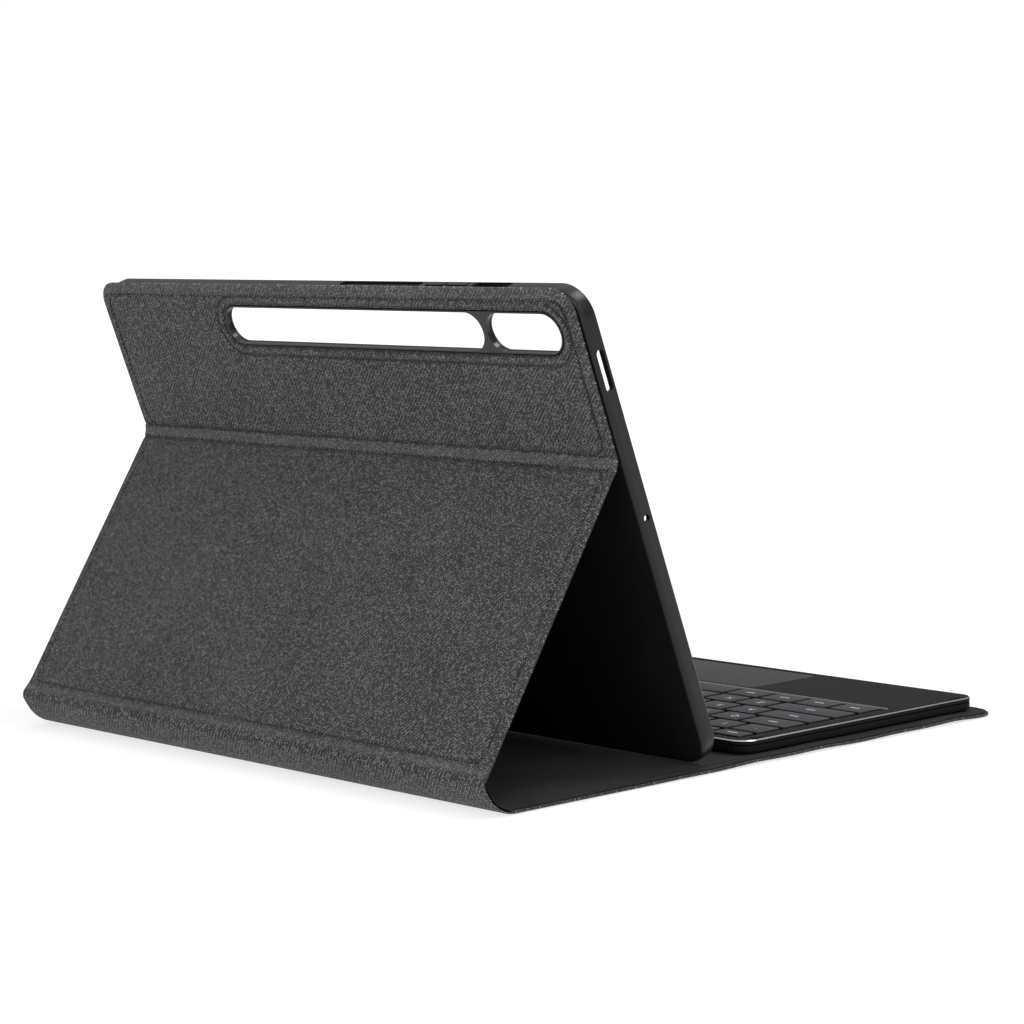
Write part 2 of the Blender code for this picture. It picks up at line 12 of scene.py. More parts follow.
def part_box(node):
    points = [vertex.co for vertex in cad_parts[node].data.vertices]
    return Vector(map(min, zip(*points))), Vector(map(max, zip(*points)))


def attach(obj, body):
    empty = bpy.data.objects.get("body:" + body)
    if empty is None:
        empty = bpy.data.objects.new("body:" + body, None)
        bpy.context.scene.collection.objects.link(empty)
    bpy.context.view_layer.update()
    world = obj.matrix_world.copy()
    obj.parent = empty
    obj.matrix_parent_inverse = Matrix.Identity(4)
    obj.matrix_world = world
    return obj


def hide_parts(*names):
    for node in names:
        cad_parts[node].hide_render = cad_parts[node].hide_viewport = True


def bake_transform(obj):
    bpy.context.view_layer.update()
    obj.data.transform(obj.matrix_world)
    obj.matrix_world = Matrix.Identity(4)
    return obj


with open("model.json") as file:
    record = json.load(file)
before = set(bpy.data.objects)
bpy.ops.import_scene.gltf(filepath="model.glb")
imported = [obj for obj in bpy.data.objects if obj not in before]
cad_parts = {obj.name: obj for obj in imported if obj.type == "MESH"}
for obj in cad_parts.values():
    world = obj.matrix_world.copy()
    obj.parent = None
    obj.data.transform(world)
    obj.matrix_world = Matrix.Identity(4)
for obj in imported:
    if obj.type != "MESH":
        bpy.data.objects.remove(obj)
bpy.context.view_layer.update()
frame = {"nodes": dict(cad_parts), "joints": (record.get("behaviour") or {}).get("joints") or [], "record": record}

MM = 0.001
JOINTS = {joint["name"]: joint for joint in frame["joints"]}
MOUNTS = {mount["name"]: mount for mount in frame["record"]["mounts"]}

# The folio's chain of panels, in the plane across it: (y, z)
SPINE_HINGE = np.array(JOINTS["spine_fold"]["pos_m"][1:])
LEG_HINGE = np.array(JOINTS["leg_fold"]["pos_m"][1:])
FOLD_HINGE = np.array(JOINTS["tray_fold"]["pos_m"][1:])
TRAY_NORMAL = np.array(MOUNTS["tablet_pocket"]["axis"][1:])
TRAY_UP = np.array((TRAY_NORMAL[1], -TRAY_NORMAL[0]))
SPINE_UP = (LEG_HINGE - SPINE_HINGE) / np.linalg.norm(LEG_HINGE - SPINE_HINGE)
LEG_UP = (FOLD_HINGE - LEG_HINGE) / np.linalg.norm(FOLD_HINGE - LEG_HINGE)
BASE_LOW, BASE_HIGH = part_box("base_cover")
FOLIO_HALF = BASE_HIGH[0]
HALF_STACK = SPINE_HINGE[1]
UPPER_LENGTH = 71.4 * MM
CORNER = 10.0 * MM

# Soft bends of the fabric, measured at the middle of its thickness
SPINE_CURL = 16.0 * MM
LEG_BEND = 3.0 * MM
LEG_TURN = math.radians(50.0)
FOLD_BEND = 6.5 * MM

# Heights within the folio's stack, outwards from its middle
CLOTH_INNER = 0.45 * MM
RIM_INNER = -0.25 * MM
RIM_WIDTH = 3.6 * MM
LINING_INSET = 0.8 * MM

# Windows and cut-outs, in the tray's own frame
TRAY_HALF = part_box("tray_shell")[1][0]
TRAY_TOP = 70.2 * MM
TRAY_FOOT = -130.6 * MM
TRAY_BACK = 1.35 * MM
TRAY_FRONT = 9.05 * MM
TRAY_CORNER = 13.0 * MM
POCKET_FLOOR = 2.25 * MM
POCKET_ROOF = 8.35 * MM
SIDE_WALL = 2.0 * MM
END_WALL = 2.8 * MM
LIP = 2.0 * MM
WINDOW_X = (-142.0 * MM, 66.0 * MM)
WINDOW_Y = (43.9 * MM, 62.2 * MM)
WINDOW_ROUND = (WINDOW_Y[1] - WINDOW_Y[0]) / 2
WINDOW_RIM = 1.1 * MM
BRIDGE_X = (-99.9 * MM, -97.5 * MM)


# ---- camera, light and floor


def make_camera():
    """A long lens behind the case, on the user's left, a little above the table."""
    azimuth, elevation, roll = (math.radians(angle) for angle in (227.80, 5.986, -1.194))
    lens, distance = 105.93, 1.18143
    target = Vector((-0.09116, 0.07758, 0.10342))
    back = Vector(
        (math.sin(azimuth) * math.cos(elevation), -math.cos(azimuth) * math.cos(elevation), math.sin(elevation))
    )
    right = (-back).cross(Vector((0, 0, 1))).normalized()
    up = right.cross(-back)
    rolled_right = right * math.cos(roll) + up * math.sin(roll)
    rolled_up = up * math.cos(roll) - right * math.sin(roll)
    data = bpy.data.cameras.new("camera")
    data.lens = lens
    data.clip_start = 0.05
    data.clip_end = 50.0
    camera = bpy.data.objects.new("camera", data)
    turn = Matrix((rolled_right, rolled_up, back)).transposed()
    camera.matrix_world = Matrix.Translation(target + back * distance) @ turn.to_4x4()
    bpy.context.scene.collection.objects.link(camera)
    bpy.context.scene.camera = camera


def area_light(name, place, aim, size, power):
    data = bpy.data.lights.new(name, "AREA")
    data.shape = "RECTANGLE"
    data.size, data.size_y = size
    data.energy = power
    light = bpy.data.objects.new(name, data)
    light.location = place
    light.rotation_euler = (Vector(aim) - Vector(place)).to_track_quat("-Z", "Y").to_euler()
    light.visible_camera = False
    bpy.context.scene.collection.objects.link(light)


WORLD_LIGHT = 0.42
FLOOR_SIZE = 30.0
FLOOR_DROP = 0.3 * MM


def make_studio():
    """A world seen at full white that lights the case less than it looks, four soft lights, and the floor."""
    world = bpy.data.worlds.new("studio")
    world.use_nodes = True
    tree = world.node_tree
    seen = tree.nodes.new("ShaderNodeLightPath").outputs["Is Camera Ray"]
    strength = tree.nodes.new("ShaderNodeMapRange")
    tree.links.new(seen, strength.inputs["Value"])
    strength.inputs["To Min"].default_value = WORLD_LIGHT
    strength.inputs["To Max"].default_value = 1.0
    background = tree.nodes["Background"]
    background.inputs["Color"].default_value = (1.0, 1.0, 1.0, 1.0)
    tree.links.new(strength.outputs[0], background.inputs["Strength"])
    bpy.context.scene.world = world
    bpy.context.scene.view_settings.view_transform = "Standard"
    area_light("overhead", (0.1, 0.0, 1.5), (0.0, 0.0, 0.0), (2.0, 2.0), 9.0)
    area_light("back_softbox", (-0.7, 1.1, 0.75), (-0.05, 0.1, 0.1), (0.9, 0.8), 7.4)
    area_light("key_light", (-0.5, -0.5, 1.4), (0.0, 0.0, 0.1), (0.5, 0.5), 7.0)
    area_light("side_softbox", (-1.5, 0.0, 1.0), (-0.1, 0.0, 0.1), (0.9, 0.8), 5.0)
    bpy.ops.mesh.primitive_plane_add(size=FLOOR_SIZE, location=(0.0, 0.0, -FLOOR_DROP))
    floor = bpy.context.object
    floor.name = "floor"
    floor.data.materials.append(floor_material())


# ---- materials


class Nodes:
    """A material's node tree, with short calls for the nodes used here."""

    def __init__(self, name):
        self.material = bpy.data.materials.new(name)
        self.material.use_nodes = True
        self.tree = self.material.node_tree
        self.shader = self.tree.nodes["Principled BSDF"]

    def add(self, kind, **values):
        node = self.tree.nodes.new(kind)
        for key, value in values.items():
            setattr(node, key, value)
        return node

    def link(self, source, target):
        self.tree.links.new(source, target)

    def feed(self, socket, value):
        if isinstance(value, bpy.types.NodeSocket):
            self.link(value, socket)
        else:
            socket.default_value = value

    def maths(self, operation, *values):
        node = self.add("ShaderNodeMath", operation=operation)
        for socket, value in zip(node.inputs, values):
            self.feed(socket, value)
        return node.outputs[0]

    def mix(self, factor, low, high):
        node = self.add("ShaderNodeMix", data_type="FLOAT")
        self.feed(node.inputs[0], factor)
        self.feed(node.inputs[2], low)
        self.feed(node.inputs[3], high)
        return node.outputs[0]

    def colour_mix(self, factor, low, high):
        node = self.add("ShaderNodeMix", data_type="RGBA")
        self.feed(node.inputs[0], factor)
        for socket, value in ((node.inputs[6], low), (node.inputs[7], high)):
            self.feed(socket, (*value, 1.0) if isinstance(value, tuple) else value)
        return node.outputs[2]

    def combine(self, x, y, z=0.0):
        node = self.add("ShaderNodeCombineXYZ")
        for socket, value in zip(node.inputs, (x, y, z)):
            self.feed(socket, value)
        return node.outputs[0]

    def noise(self, vector, scale, detail=2.0, roughness=0.5):
        node = self.add("ShaderNodeTexNoise")
        self.link(vector, node.inputs["Vector"])
        node.inputs["Scale"].default_value = scale
        node.inputs["Detail"].default_value = detail
        node.inputs["Roughness"].default_value = roughness
        return node.outputs["Fac"]

    def white(self, vector):
        node = self.add("ShaderNodeTexWhiteNoise", noise_dimensions="3D")
        self.link(vector, node.inputs["Vector"])
        return node.outputs["Value"]

    def spread(self, value, low, high, to_low=0.0, to_high=1.0):
        node = self.add("ShaderNodeMapRange", interpolation_type="SMOOTHSTEP")
        for socket, number in zip(node.inputs, (value, low, high, to_low, to_high)):
            self.feed(socket, number)
        return node.outputs[0]

    def place(self):
        return self.add("ShaderNodeTexCoord").outputs["Object"]

    def bump(self, height, strength, distance):
        node = self.add("ShaderNodeBump")
        node.inputs["Strength"].default_value = strength
        node.inputs["Distance"].default_value = distance
        self.link(height, node.inputs["Height"])
        self.link(node.outputs[0], self.shader.inputs["Normal"])

    def set(self, **values):
        for key, value in values.items():
            self.feed(self.shader.inputs[key.replace("_", " ")], value)


# The floor glows less near the case, out to these distances from its middle, so that a shadow shows there
SHADOW_REACH, SHADOW_END = 0.3, 1.0
NEAR_GLOW = 0.74


def floor_material():
    """A white sweep that glows, a little less close to the case, where it takes a faint shadow."""
    made = Nodes("floor_white")
    reach = made.add("ShaderNodeVectorMath", operation="LENGTH")
    made.link(made.place(), reach.inputs[0])
    made.set(Base_Color=(0.33, 0.33, 0.33, 1.0), Roughness=1.0, Specular_IOR_Level=0.0)
    made.set(Emission_Color=(1.0, 1.0, 1.0, 1.0))
    glow = made.spread(reach.outputs["Value"], SHADOW_REACH, SHADOW_END, NEAR_GLOW, 1.0)
    made.set(Emission_Strength=glow)
    return made.material


def plain_material(name, colour, roughness, specular=0.5):
    made = Nodes(name)
    made.set(Base_Color=(*colour, 1.0), Roughness=roughness, Specular_IOR_Level=specular)
    return made.material


# The woven cover: thread width, threads to a repeat, and the colours of its shade and its light flecks
THREAD = 0.5 * MM
REPEAT = 4.0
COVER_DARK = (0.012, 0.012, 0.0125)
COVER_LIGHT = (0.40, 0.40, 0.403)
# Painted shade: the darker colour laid in pressed lines, the fold crease and where the fabric rolls into the window.
PAINTED_SHADE_COLOUR = (0.008, 0.008, 0.009)
# Painted highlight: the lighter colour laid on the leg's lower shoulder, the top strip and the ridge round the
# window; it also lightens the crease top and cut edges.
PAINTED_HIGHLIGHT_COLOUR = (0.19, 0.19, 0.195)


def woven_material():
    """A dark heathered twill: threads from the cloth's own coordinates, light flecks kept to the thread crowns with
    painted shade between the threads, and fine fuzz.
    """
    made = Nodes("woven_cover")
    cloth = made.add("ShaderNodeUVMap", uv_map="cloth").outputs[0]
    parts = made.add("ShaderNodeSeparateXYZ")
    made.link(cloth, parts.inputs[0])
    wander = made.maths("MULTIPLY", made.noise(cloth, 160.0, 2.0), 0.25)
    across = made.maths("ADD", made.maths("DIVIDE", parts.outputs[0], THREAD), wander)
    along = made.maths("ADD", made.maths("DIVIDE", parts.outputs[1], THREAD), wander)
    column, row = made.maths("FLOOR", across), made.maths("FLOOR", along)
    warp_phase = made.maths("FLOORED_MODULO", made.maths("ADD", column, along), REPEAT)
    weft_phase = made.maths("FLOORED_MODULO", made.maths("ADD", across, row), REPEAT)
    diagonal = made.maths("ADD", column, row)
    float_number = made.maths("FLOOR", made.maths("DIVIDE", diagonal, REPEAT))
    over = made.maths("LESS_THAN", made.maths("FLOORED_MODULO", diagonal, REPEAT), REPEAT / 2)

    def float_height(side, phase):
        hump = made.maths("SINE", made.maths("MULTIPLY", made.maths("FRACT", side), math.pi))
        bow = made.maths("SINE", made.maths("MULTIPLY", phase, 2 * math.pi / REPEAT))
        return made.maths("MULTIPLY", hump, made.maths("POWER", made.maths("ABSOLUTE", bow), 0.6))

    height = made.mix(over, float_height(along, weft_phase), float_height(across, warp_phase))
    warp_tone = made.white(made.combine(column, float_number))
    weft_tone = made.white(made.combine(float_number, row, 7.0))
    warp_light = made.maths("ADD", made.maths("MULTIPLY", made.maths("POWER", warp_tone, 1.3), 0.8), 0.12)
    tone = made.mix(over, made.maths("POWER", weft_tone, 3.0), warp_light)
    fuzz = made.noise(cloth, 3000.0, 3.0, 0.7)
    cloud = made.noise(cloth, 24.0, 2.0)
    # The heather tone is scaled by the thread's hump height, so the colour darkens towards the gaps between threads:
    # painted shade in the weave.
    light = made.maths("MULTIPLY", tone, made.maths("POWER", height, 2.6))
    light = made.maths("ADD", light, made.maths("MULTIPLY", made.maths("SUBTRACT", fuzz, 0.5), 0.22))
    light = made.maths("ADD", light, made.maths("MULTIPLY", made.maths("SUBTRACT", cloud, 0.5), 0.08))
    colour = made.colour_mix(made.spread(light, -0.1, 0.95), COVER_DARK, COVER_LIGHT)
    # Painted shade and painted highlight from the cover's attribute: darker in pressed lines, the fold crease and
    # where the fabric rolls into the window; lighter on the leg's lower shoulder, the top strip and the ridge round
    # the window, and on the crease top and cut edges.
    press = made.add("ShaderNodeAttribute", attribute_name="press").outputs["Fac"]
    pressed = made.colour_mix(made.spread(press, 0.0, 0.8, 0.0, 0.75), colour, PAINTED_SHADE_COLOUR)
    lightened = made.colour_mix(made.spread(press, -0.7, 0.0, 0.14, 0.0), pressed, PAINTED_HIGHLIGHT_COLOUR)
    made.set(Base_Color=lightened, Roughness=0.88, Specular_IOR_Level=0.2)
    made.set(Sheen_Weight=0.08, Sheen_Roughness=0.5)
    made.bump(made.maths("ADD", height, made.maths("MULTIPLY", fuzz, 0.35)), 0.6, 0.12 * MM)
    return made.material


def lining_material():
    """Black microfibre with a short brushed nap."""
    made = Nodes("microfibre_lining")
    place = made.place()
    nap = made.noise(place, 3200.0, 4.0, 0.75)
    brushed = made.noise(place, 45.0, 3.0, 0.6)
    colour = made.colour_mix(made.spread(brushed, 0.35, 0.7), (0.008, 0.008, 0.0085), (0.016, 0.016, 0.017))
    made.set(Base_Color=colour, Roughness=0.95, Specular_IOR_Level=0.1)
    made.set(Sheen_Weight=0.05, Sheen_Roughness=0.6)
    made.bump(nap, 0.5, 0.08 * MM)
    return made.material


def moulded_material(name, dark, light, roughness, grain, depth, specular=0.5, polish=0.06):
    """Moulded plastic: a fine spark texture, faint handling marks in the gloss, paler convex edges."""
    made = Nodes(name)
    place = made.place()
    spark = made.noise(place, grain, 2.0, 0.6)
    marks = made.noise(place, 38.0, 4.0, 0.6)
    edge = made.add("ShaderNodeNewGeometry").outputs["Pointiness"]
    lightened = made.spread(edge, 0.53, 0.62)
    colour = made.colour_mix(made.maths("MAXIMUM", lightened, made.spread(marks, 0.45, 0.85, 0.0, 0.35)), dark, light)
    made.set(Base_Color=colour, Specular_IOR_Level=specular)
    made.set(Roughness=made.spread(marks, 0.3, 0.75, roughness - polish, roughness + polish))
    made.bump(spark, 0.35, depth)
    return made.material


def metal_material(name, colour, roughness):
    made = Nodes(name)
    place = made.place()
    stretched = made.add("ShaderNodeMapping")
    stretched.inputs["Scale"].default_value = (1.0, 24.0, 1.0)
    made.link(place, stretched.inputs["Vector"])
    lines = made.noise(stretched.outputs[0], 260.0, 3.0, 0.6)
    made.set(Base_Color=(*colour, 1.0), Metallic=1.0)
    made.set(Roughness=made.spread(lines, 0.2, 0.8, roughness - 0.07, roughness + 0.1))
    made.bump(lines, 0.15, 0.02 * MM)
    return made.material


def board_material():
    made = Nodes("pressed_board")
    place = made.place()
    fibre = made.noise(place, 900.0, 4.0, 0.7)
    colour = made.colour_mix(made.spread(fibre, 0.3, 0.7), (0.2, 0.17, 0.13), (0.36, 0.31, 0.25))
    made.set(Base_Color=colour, Roughness=0.95)
    made.bump(fibre, 0.4, 0.1 * MM)
    return made.material


def make_materials():
    return {
        "cover": woven_material(),
        "lining": lining_material(),
        "soft_shell": moulded_material(
            "soft_shell", (0.006, 0.006, 0.0065), (0.011, 0.011, 0.0115), 0.36, 2400.0, 0.02 * MM, 0.3, 0.03
        ),
        "gloss": moulded_material(
            "window_gloss", (0.006, 0.006, 0.0065), (0.011, 0.011, 0.012), 0.2, 900.0, 0.004 * MM, 0.35, 0.03
        ),
        "deck": moulded_material(
            "keyboard_plastic", (0.009, 0.009, 0.0095), (0.015, 0.015, 0.016), 0.5, 2800.0, 0.015 * MM, 0.04, 0.02
        ),
        "chamfer": metal_material("polished_edge", (0.5, 0.5, 0.51), 0.3),
        "keys": moulded_material(
            "key_plastic", (0.022, 0.022, 0.026), (0.034, 0.034, 0.039), 0.5, 3200.0, 0.02 * MM, 0.3, 0.02
        ),
        # A darker copy of the key plastic for the caps' sides: painted shade.
        "key_sides": plain_material("key_sides", (0.006, 0.006, 0.006), 0.6, 0.2),
        "touchpad": moulded_material(
            "touchpad_film", (0.038, 0.038, 0.039), (0.042, 0.042, 0.043), 0.46, 4200.0, 0.006 * MM, 0.18, 0.02
        ),
        "legend": plain_material("legend_ink", (0.55, 0.56, 0.62), 0.6),
        "rubber": moulded_material("rubber", (0.01, 0.01, 0.01), (0.02, 0.02, 0.02), 0.8, 2000.0, 0.03 * MM, 0.3),
        "well": plain_material("well_black", (0.004, 0.004, 0.004), 0.7, 0.2),
        "steel": metal_material("steel", (0.55, 0.55, 0.57), 0.3),
        "circuit": moulded_material("circuit", (0.01, 0.07, 0.03), (0.02, 0.11, 0.05), 0.4, 900.0, 0.02 * MM),
        "battery": moulded_material("battery_pouch", (0.2, 0.2, 0.22), (0.3, 0.3, 0.32), 0.35, 500.0, 0.05 * MM),
        "lamp": moulded_material("lamp_lens", (0.4, 0.42, 0.4), (0.5, 0.52, 0.5), 0.25, 600.0, 0.005 * MM),
        "board": board_material(),
    }


# ---- mesh helpers


def finish_piece(name, shape, material, body, replaced=(), transform=None, smooth=35.0):
    """Turns a bmesh into a piece that rides on a body."""
    if transform is not None:
        shape.transform(transform)
    bmesh.ops.recalc_face_normals(shape, faces=shape.faces)
    mesh = bpy.data.meshes.new(name)
    shape.to_mesh(mesh)
    shape.free()
    return mesh_piece(name, mesh, material, body, replaced, smooth)


def mesh_piece(name, mesh, material, body, replaced=(), smooth=35.0):
    mesh.shade_smooth()
    mesh.set_sharp_from_angle(angle=math.radians(smooth))
    piece = bpy.data.objects.new(name, mesh)
    bpy.context.scene.collection.objects.link(piece)
    mesh.materials.append(material)
    if body:
        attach(piece, body)
    if replaced:
        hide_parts(*replaced)
    return piece


def rounded_ring(x0, x1, y0, y1, radius, steps):
    """Corner arcs of a rectangle, counter-clockwise."""
    points = []
    radius = min(radius, (x1 - x0) / 2, (y1 - y0) / 2)
    left, right, low, high = x0 + radius, x1 - radius, y0 + radius, y1 - radius
    centres = ((right, high), (left, high), (left, low), (right, low))
    for corner, (cx, cy) in enumerate(centres):
        for step in range(steps + 1):
            angle = math.pi / 2 * (corner + step / steps)
            points.append((cx + radius * math.cos(angle), cy + radius * math.sin(angle)))
    return points


def inset_ring(box, inset, z, radius, steps):
    """The ring of a rounded rectangle, drawn in by the inset, at a height."""
    x0, x1, y0, y1 = box
    flat = rounded_ring(x0 + inset, x1 - inset, y0 + inset, y1 - inset, radius, steps)
    return [(x, y, z) for x, y in flat]


def grown(box, margin):
    return (box[0] - margin, box[1] + margin, box[2] - margin, box[3] + margin)


def loft(shape, rings, cap_first=True, cap_last=True):
    """Joins rings of (x, y, z) points, each with the same count, into a closed side wall."""
    made = [[shape.verts.new(point) for point in ring] for ring in rings]
    count = len(rings[0])
    for low, high in zip(made, made[1:]):
        for index in range(count):
            after = (index + 1) % count
            shape.faces.new((low[index], low[after], high[after], high[index]))
    if cap_first:
        shape.faces.new(list(reversed(made[0])))
    if cap_last:
        shape.faces.new(made[-1])
    return made


def edge_rings(box, z_span, radius, steps, low_round, high_round, round_steps=4):
    """Rings of a rounded block whose bottom and top edges are rounded by these amounts."""
    levels = []
    for step in range(round_steps + 1):
        angle = math.pi / 2 * step / round_steps
        levels.append((low_round * (1 - math.sin(angle)), z_span[0] + low_round * (1 - math.cos(angle))))
    for step in range(round_steps + 1):
        angle = math.pi / 2 * step / round_steps
        levels.append((high_round * (1 - math.cos(angle)), z_span[1] - high_round * (1 - math.sin(angle))))
    return [inset_ring(box, inset, z, max(radius - inset, 0.05 * MM), steps) for inset, z in levels]


def rounded_block(shape, box, z_span, radius, steps=8, low_round=0.2 * MM, high_round=0.2 * MM, round_steps=3):
    loft(shape, edge_rings(box, z_span, radius, steps, low_round, high_round, round_steps))


def cutter_object(name, box, z_span, radius, steps=12, transform=None):
    shape = bmesh.new()
    loft(shape, [inset_ring(box, 0.0, z, radius, steps) for z in z_span])
    if transform is not None:
        shape.transform(transform)
    bmesh.ops.recalc_face_normals(shape, faces=shape.faces)
    mesh = bpy.data.meshes.new(name)
    shape.to_mesh(mesh)
    shape.free()
    made = bpy.data.objects.new(name, mesh)
    bpy.context.scene.collection.objects.link(made)
    return made


def carve(piece, cutters):
    """Takes the cutters away from the piece's mesh, and removes them."""
    for cutter in cutters:
        step = piece.modifiers.new(cutter.name, "BOOLEAN")
        step.operation = "DIFFERENCE"
        step.solver = "EXACT"
        step.object = cutter
    graph = bpy.context.evaluated_depsgraph_get()
    carved = bpy.data.meshes.new_from_object(piece.evaluated_get(graph))
    piece.modifiers.clear()
    piece.data = carved
    for cutter in cutters:
        bpy.data.objects.remove(cutter, do_unlink=True)
    carved.shade_smooth()
    carved.set_sharp_from_angle(angle=math.radians(35))


# ---- the folio's fabric


def direction_angle(vector):
    return math.atan2(vector[1], vector[0])


def heading(angle):
    return np.array((math.cos(angle), math.sin(angle)))


def after_bend(angle, turn, radius):
    """The step that a bend makes, from its start to its end."""
    side = math.copysign(radius, turn)
    return side * (heading(angle + turn - math.pi / 2) - heading(angle - math.pi / 2))


def folio_path():
    """Straight runs and bends of the folio's middle line: (kind, length, start point, start angle, radius)."""
    leg_angle, tray_angle = direction_angle(LEG_UP), direction_angle(TRAY_UP)
    curl = after_bend(0.0, leg_angle - LEG_TURN, SPINE_CURL) + after_bend(leg_angle - LEG_TURN, LEG_TURN, LEG_BEND)
    rise = HALF_STACK + curl[1]
    leg_foot = LEG_HINGE + LEG_UP * (rise - LEG_HINGE[1]) / LEG_UP[1]
    base_end = leg_foot - curl
    fold_turn = tray_angle - leg_angle
    trim = FOLD_BEND * math.tan(abs(fold_turn) / 2)
    fold_start = FOLD_HINGE - LEG_UP * trim
    parts = (
        (base_end[0] - BASE_LOW[1], 0.0, 0.0),
        (None, leg_angle - LEG_TURN, SPINE_CURL),
        (None, LEG_TURN, LEG_BEND),
        (np.linalg.norm(fold_start - leg_foot), 0.0, 0.0),
        (None, fold_turn, FOLD_BEND),
        (UPPER_LENGTH - trim, 0.0, 0.0),
    )
    runs = []
    start, angle = np.array((BASE_LOW[1], HALF_STACK)), 0.0
    for length, turn, radius in parts:
        if length is None:
            runs.append(("bend", abs(radius * turn), start, angle, math.copysign(radius, turn)))
            start = start + after_bend(angle, turn, radius)
            angle += turn
        else:
            runs.append(("run", length, start, angle, 0.0))
            start = start + heading(angle) * length
    return runs


PATH = folio_path()
STARTS = np.concatenate(([0.0], np.cumsum([run[1] for run in PATH])))
TOTAL = STARTS[-1]


def path_point(s):
    """The middle line's (y, z), and its outward normal, at a length s from the base's front edge."""
    index = int(np.clip(np.searchsorted(STARTS, s, side="right") - 1, 0, len(PATH) - 1))
    kind, _, start, angle, radius = PATH[index]
    along = s - STARTS[index]
    if kind == "run":
        here = start + heading(angle) * along
        turned = angle
    else:
        turned = angle + along / radius
        centre = start + radius * np.array((-math.sin(angle), math.cos(angle)))
        here = centre - radius * np.array((-math.sin(turned), math.cos(turned)))
    return here, np.array((math.sin(turned), -math.cos(turned)))


def ramp(value, low, high):
    t = np.clip((value - low) / (high - low), 0.0, 1.0)
    return t * t * (3 - 2 * t)


def spaced(low, high, marks, fine, coarse, reach):
    """Numbers from low to high, close together near the marks and further apart elsewhere."""
    values = [low]
    while values[-1] < high:
        here = values[-1]
        near = min(abs(here - mark) for mark in marks)
        values.append(here + (fine if near < reach else min(coarse, max(fine, 0.5 * (near - reach) + fine))))
    values[-1] = high
    return np.array(values)


def rectangle_depth(x, y, x0, x1, y0, y1, radius):
    """How far inside a rounded rectangle a point is, negative outside."""
    qx = np.abs(x - (x0 + x1) / 2) - (x1 - x0) / 2 + radius
    qy = np.abs(y - (y0 + y1) / 2) - (y1 - y0) / 2 + radius
    outside = np.hypot(np.maximum(qx, 0), np.maximum(qy, 0)) + np.minimum(np.maximum(qx, qy), 0)
    return radius - outside


# Lengths along the path where the panels begin and end
BASE_END, SPINE_END, LEG_START, LEG_END, UPPER_START = STARTS[1:6]
BOARD_INSET = 5.0 * MM
LEG_BOARD = (LEG_START + 5.2 * MM, LEG_END - 0.6 * MM)
LEG_BOARD_CORNER = 4.0 * MM
UPPER_BOARD = (UPPER_START + 0.6 * MM, TOTAL - BOARD_INSET)
UPPER_BOARD_CORNER = 6.0 * MM

# Distances outside the window's edge: the pressed line round it, and the ridge inside that
WINDOW_LINE = 4.0 * MM
WINDOW_RIDGE = 2.1 * MM


def dip(distance, width):
    return np.exp(-((distance / width) ** 2))


def window_depth(x, s):
    """Distance outside the window's edge, in the upper panel."""
    return -rectangle_depth(x, s - (TOTAL - UPPER_LENGTH), *WINDOW_X, *WINDOW_Y, WINDOW_ROUND)


def cover_marks(x, s, half):
    """Where the fabric has pressed lines, a raised crease, a board under it, a cut edge, a rolled window edge and the
    ridge round that, each from 0 to 1."""
    x0 = -FOLIO_HALF + BOARD_INSET
    board = np.where(
        s < (LEG_END + UPPER_START) / 2,
        rectangle_depth(x, s, x0, -x0, *LEG_BOARD, LEG_BOARD_CORNER),
        rectangle_depth(x, s, x0, -x0, *UPPER_BOARD, UPPER_BOARD_CORNER),
    )
    on_panels = ramp(s, LEG_START, LEG_START + 3 * MM)
    crease, crease_half = (LEG_END + UPPER_START) / 2, (UPPER_START - LEG_END) / 2 + 0.4 * MM
    from_crease = np.abs(s - crease)
    side_fade = ramp(FOLIO_HALF - np.abs(x), 1.5 * MM, 5.0 * MM)
    in_crease = from_crease < crease_half
    outline = np.where(in_crease | (s < LEG_BOARD[0] - 1.5 * MM), 0.0, dip(board, 0.6 * MM))
    outline *= np.where(s < LEG_BOARD[1], 0.55, 0.8)
    fold = dip(from_crease - crease_half, 0.75 * MM) * (0.3 + 0.7 * side_fade) * on_panels
    gap = window_depth(x, s)
    round_window = np.where(s > UPPER_START, 0.75 * dip(gap - WINDOW_LINE, 0.7 * MM), 0.0)
    lines = np.maximum(np.maximum(outline * on_panels, fold), round_window)
    raised = np.where(in_crease, 1 - ramp(from_crease, crease_half - 1.2 * MM, crease_half), 0.0) * on_panels
    plateau = ramp(board, -0.4 * MM, 1.2 * MM) * on_panels * np.where(in_crease, 0.0, 1.0)
    edge = np.minimum(half - np.abs(x), np.minimum(s, TOTAL - s))
    cut = 1 - ramp(edge, -0.2 * MM, 1.3 * MM)
    window_roll = np.where(s > UPPER_START, 1 - ramp(gap, 0.0, 1.8 * MM), 0.0)
    ridge = np.where(s > UPPER_START, dip(gap - WINDOW_RIDGE, 0.9 * MM), 0.0)
    return lines, raised, plateau, cut, window_roll, ridge


def cover_height(x, s, half):
    """How far the fabric stands out from the flat stack."""
    lines, raised, plateau, cut, window_roll, ridge = cover_marks(x, s, half)
    height = 0.3 * MM * plateau + 0.45 * MM * raised + 0.25 * MM * ridge
    height += 0.9 * MM * dip(s - LEG_START, 3.6 * MM)
    height -= 0.75 * MM * lines + 0.55 * MM * cut**1.5 + 0.8 * MM * window_roll
    return np.where(s < BASE_END, np.minimum(height, 0.0), height)


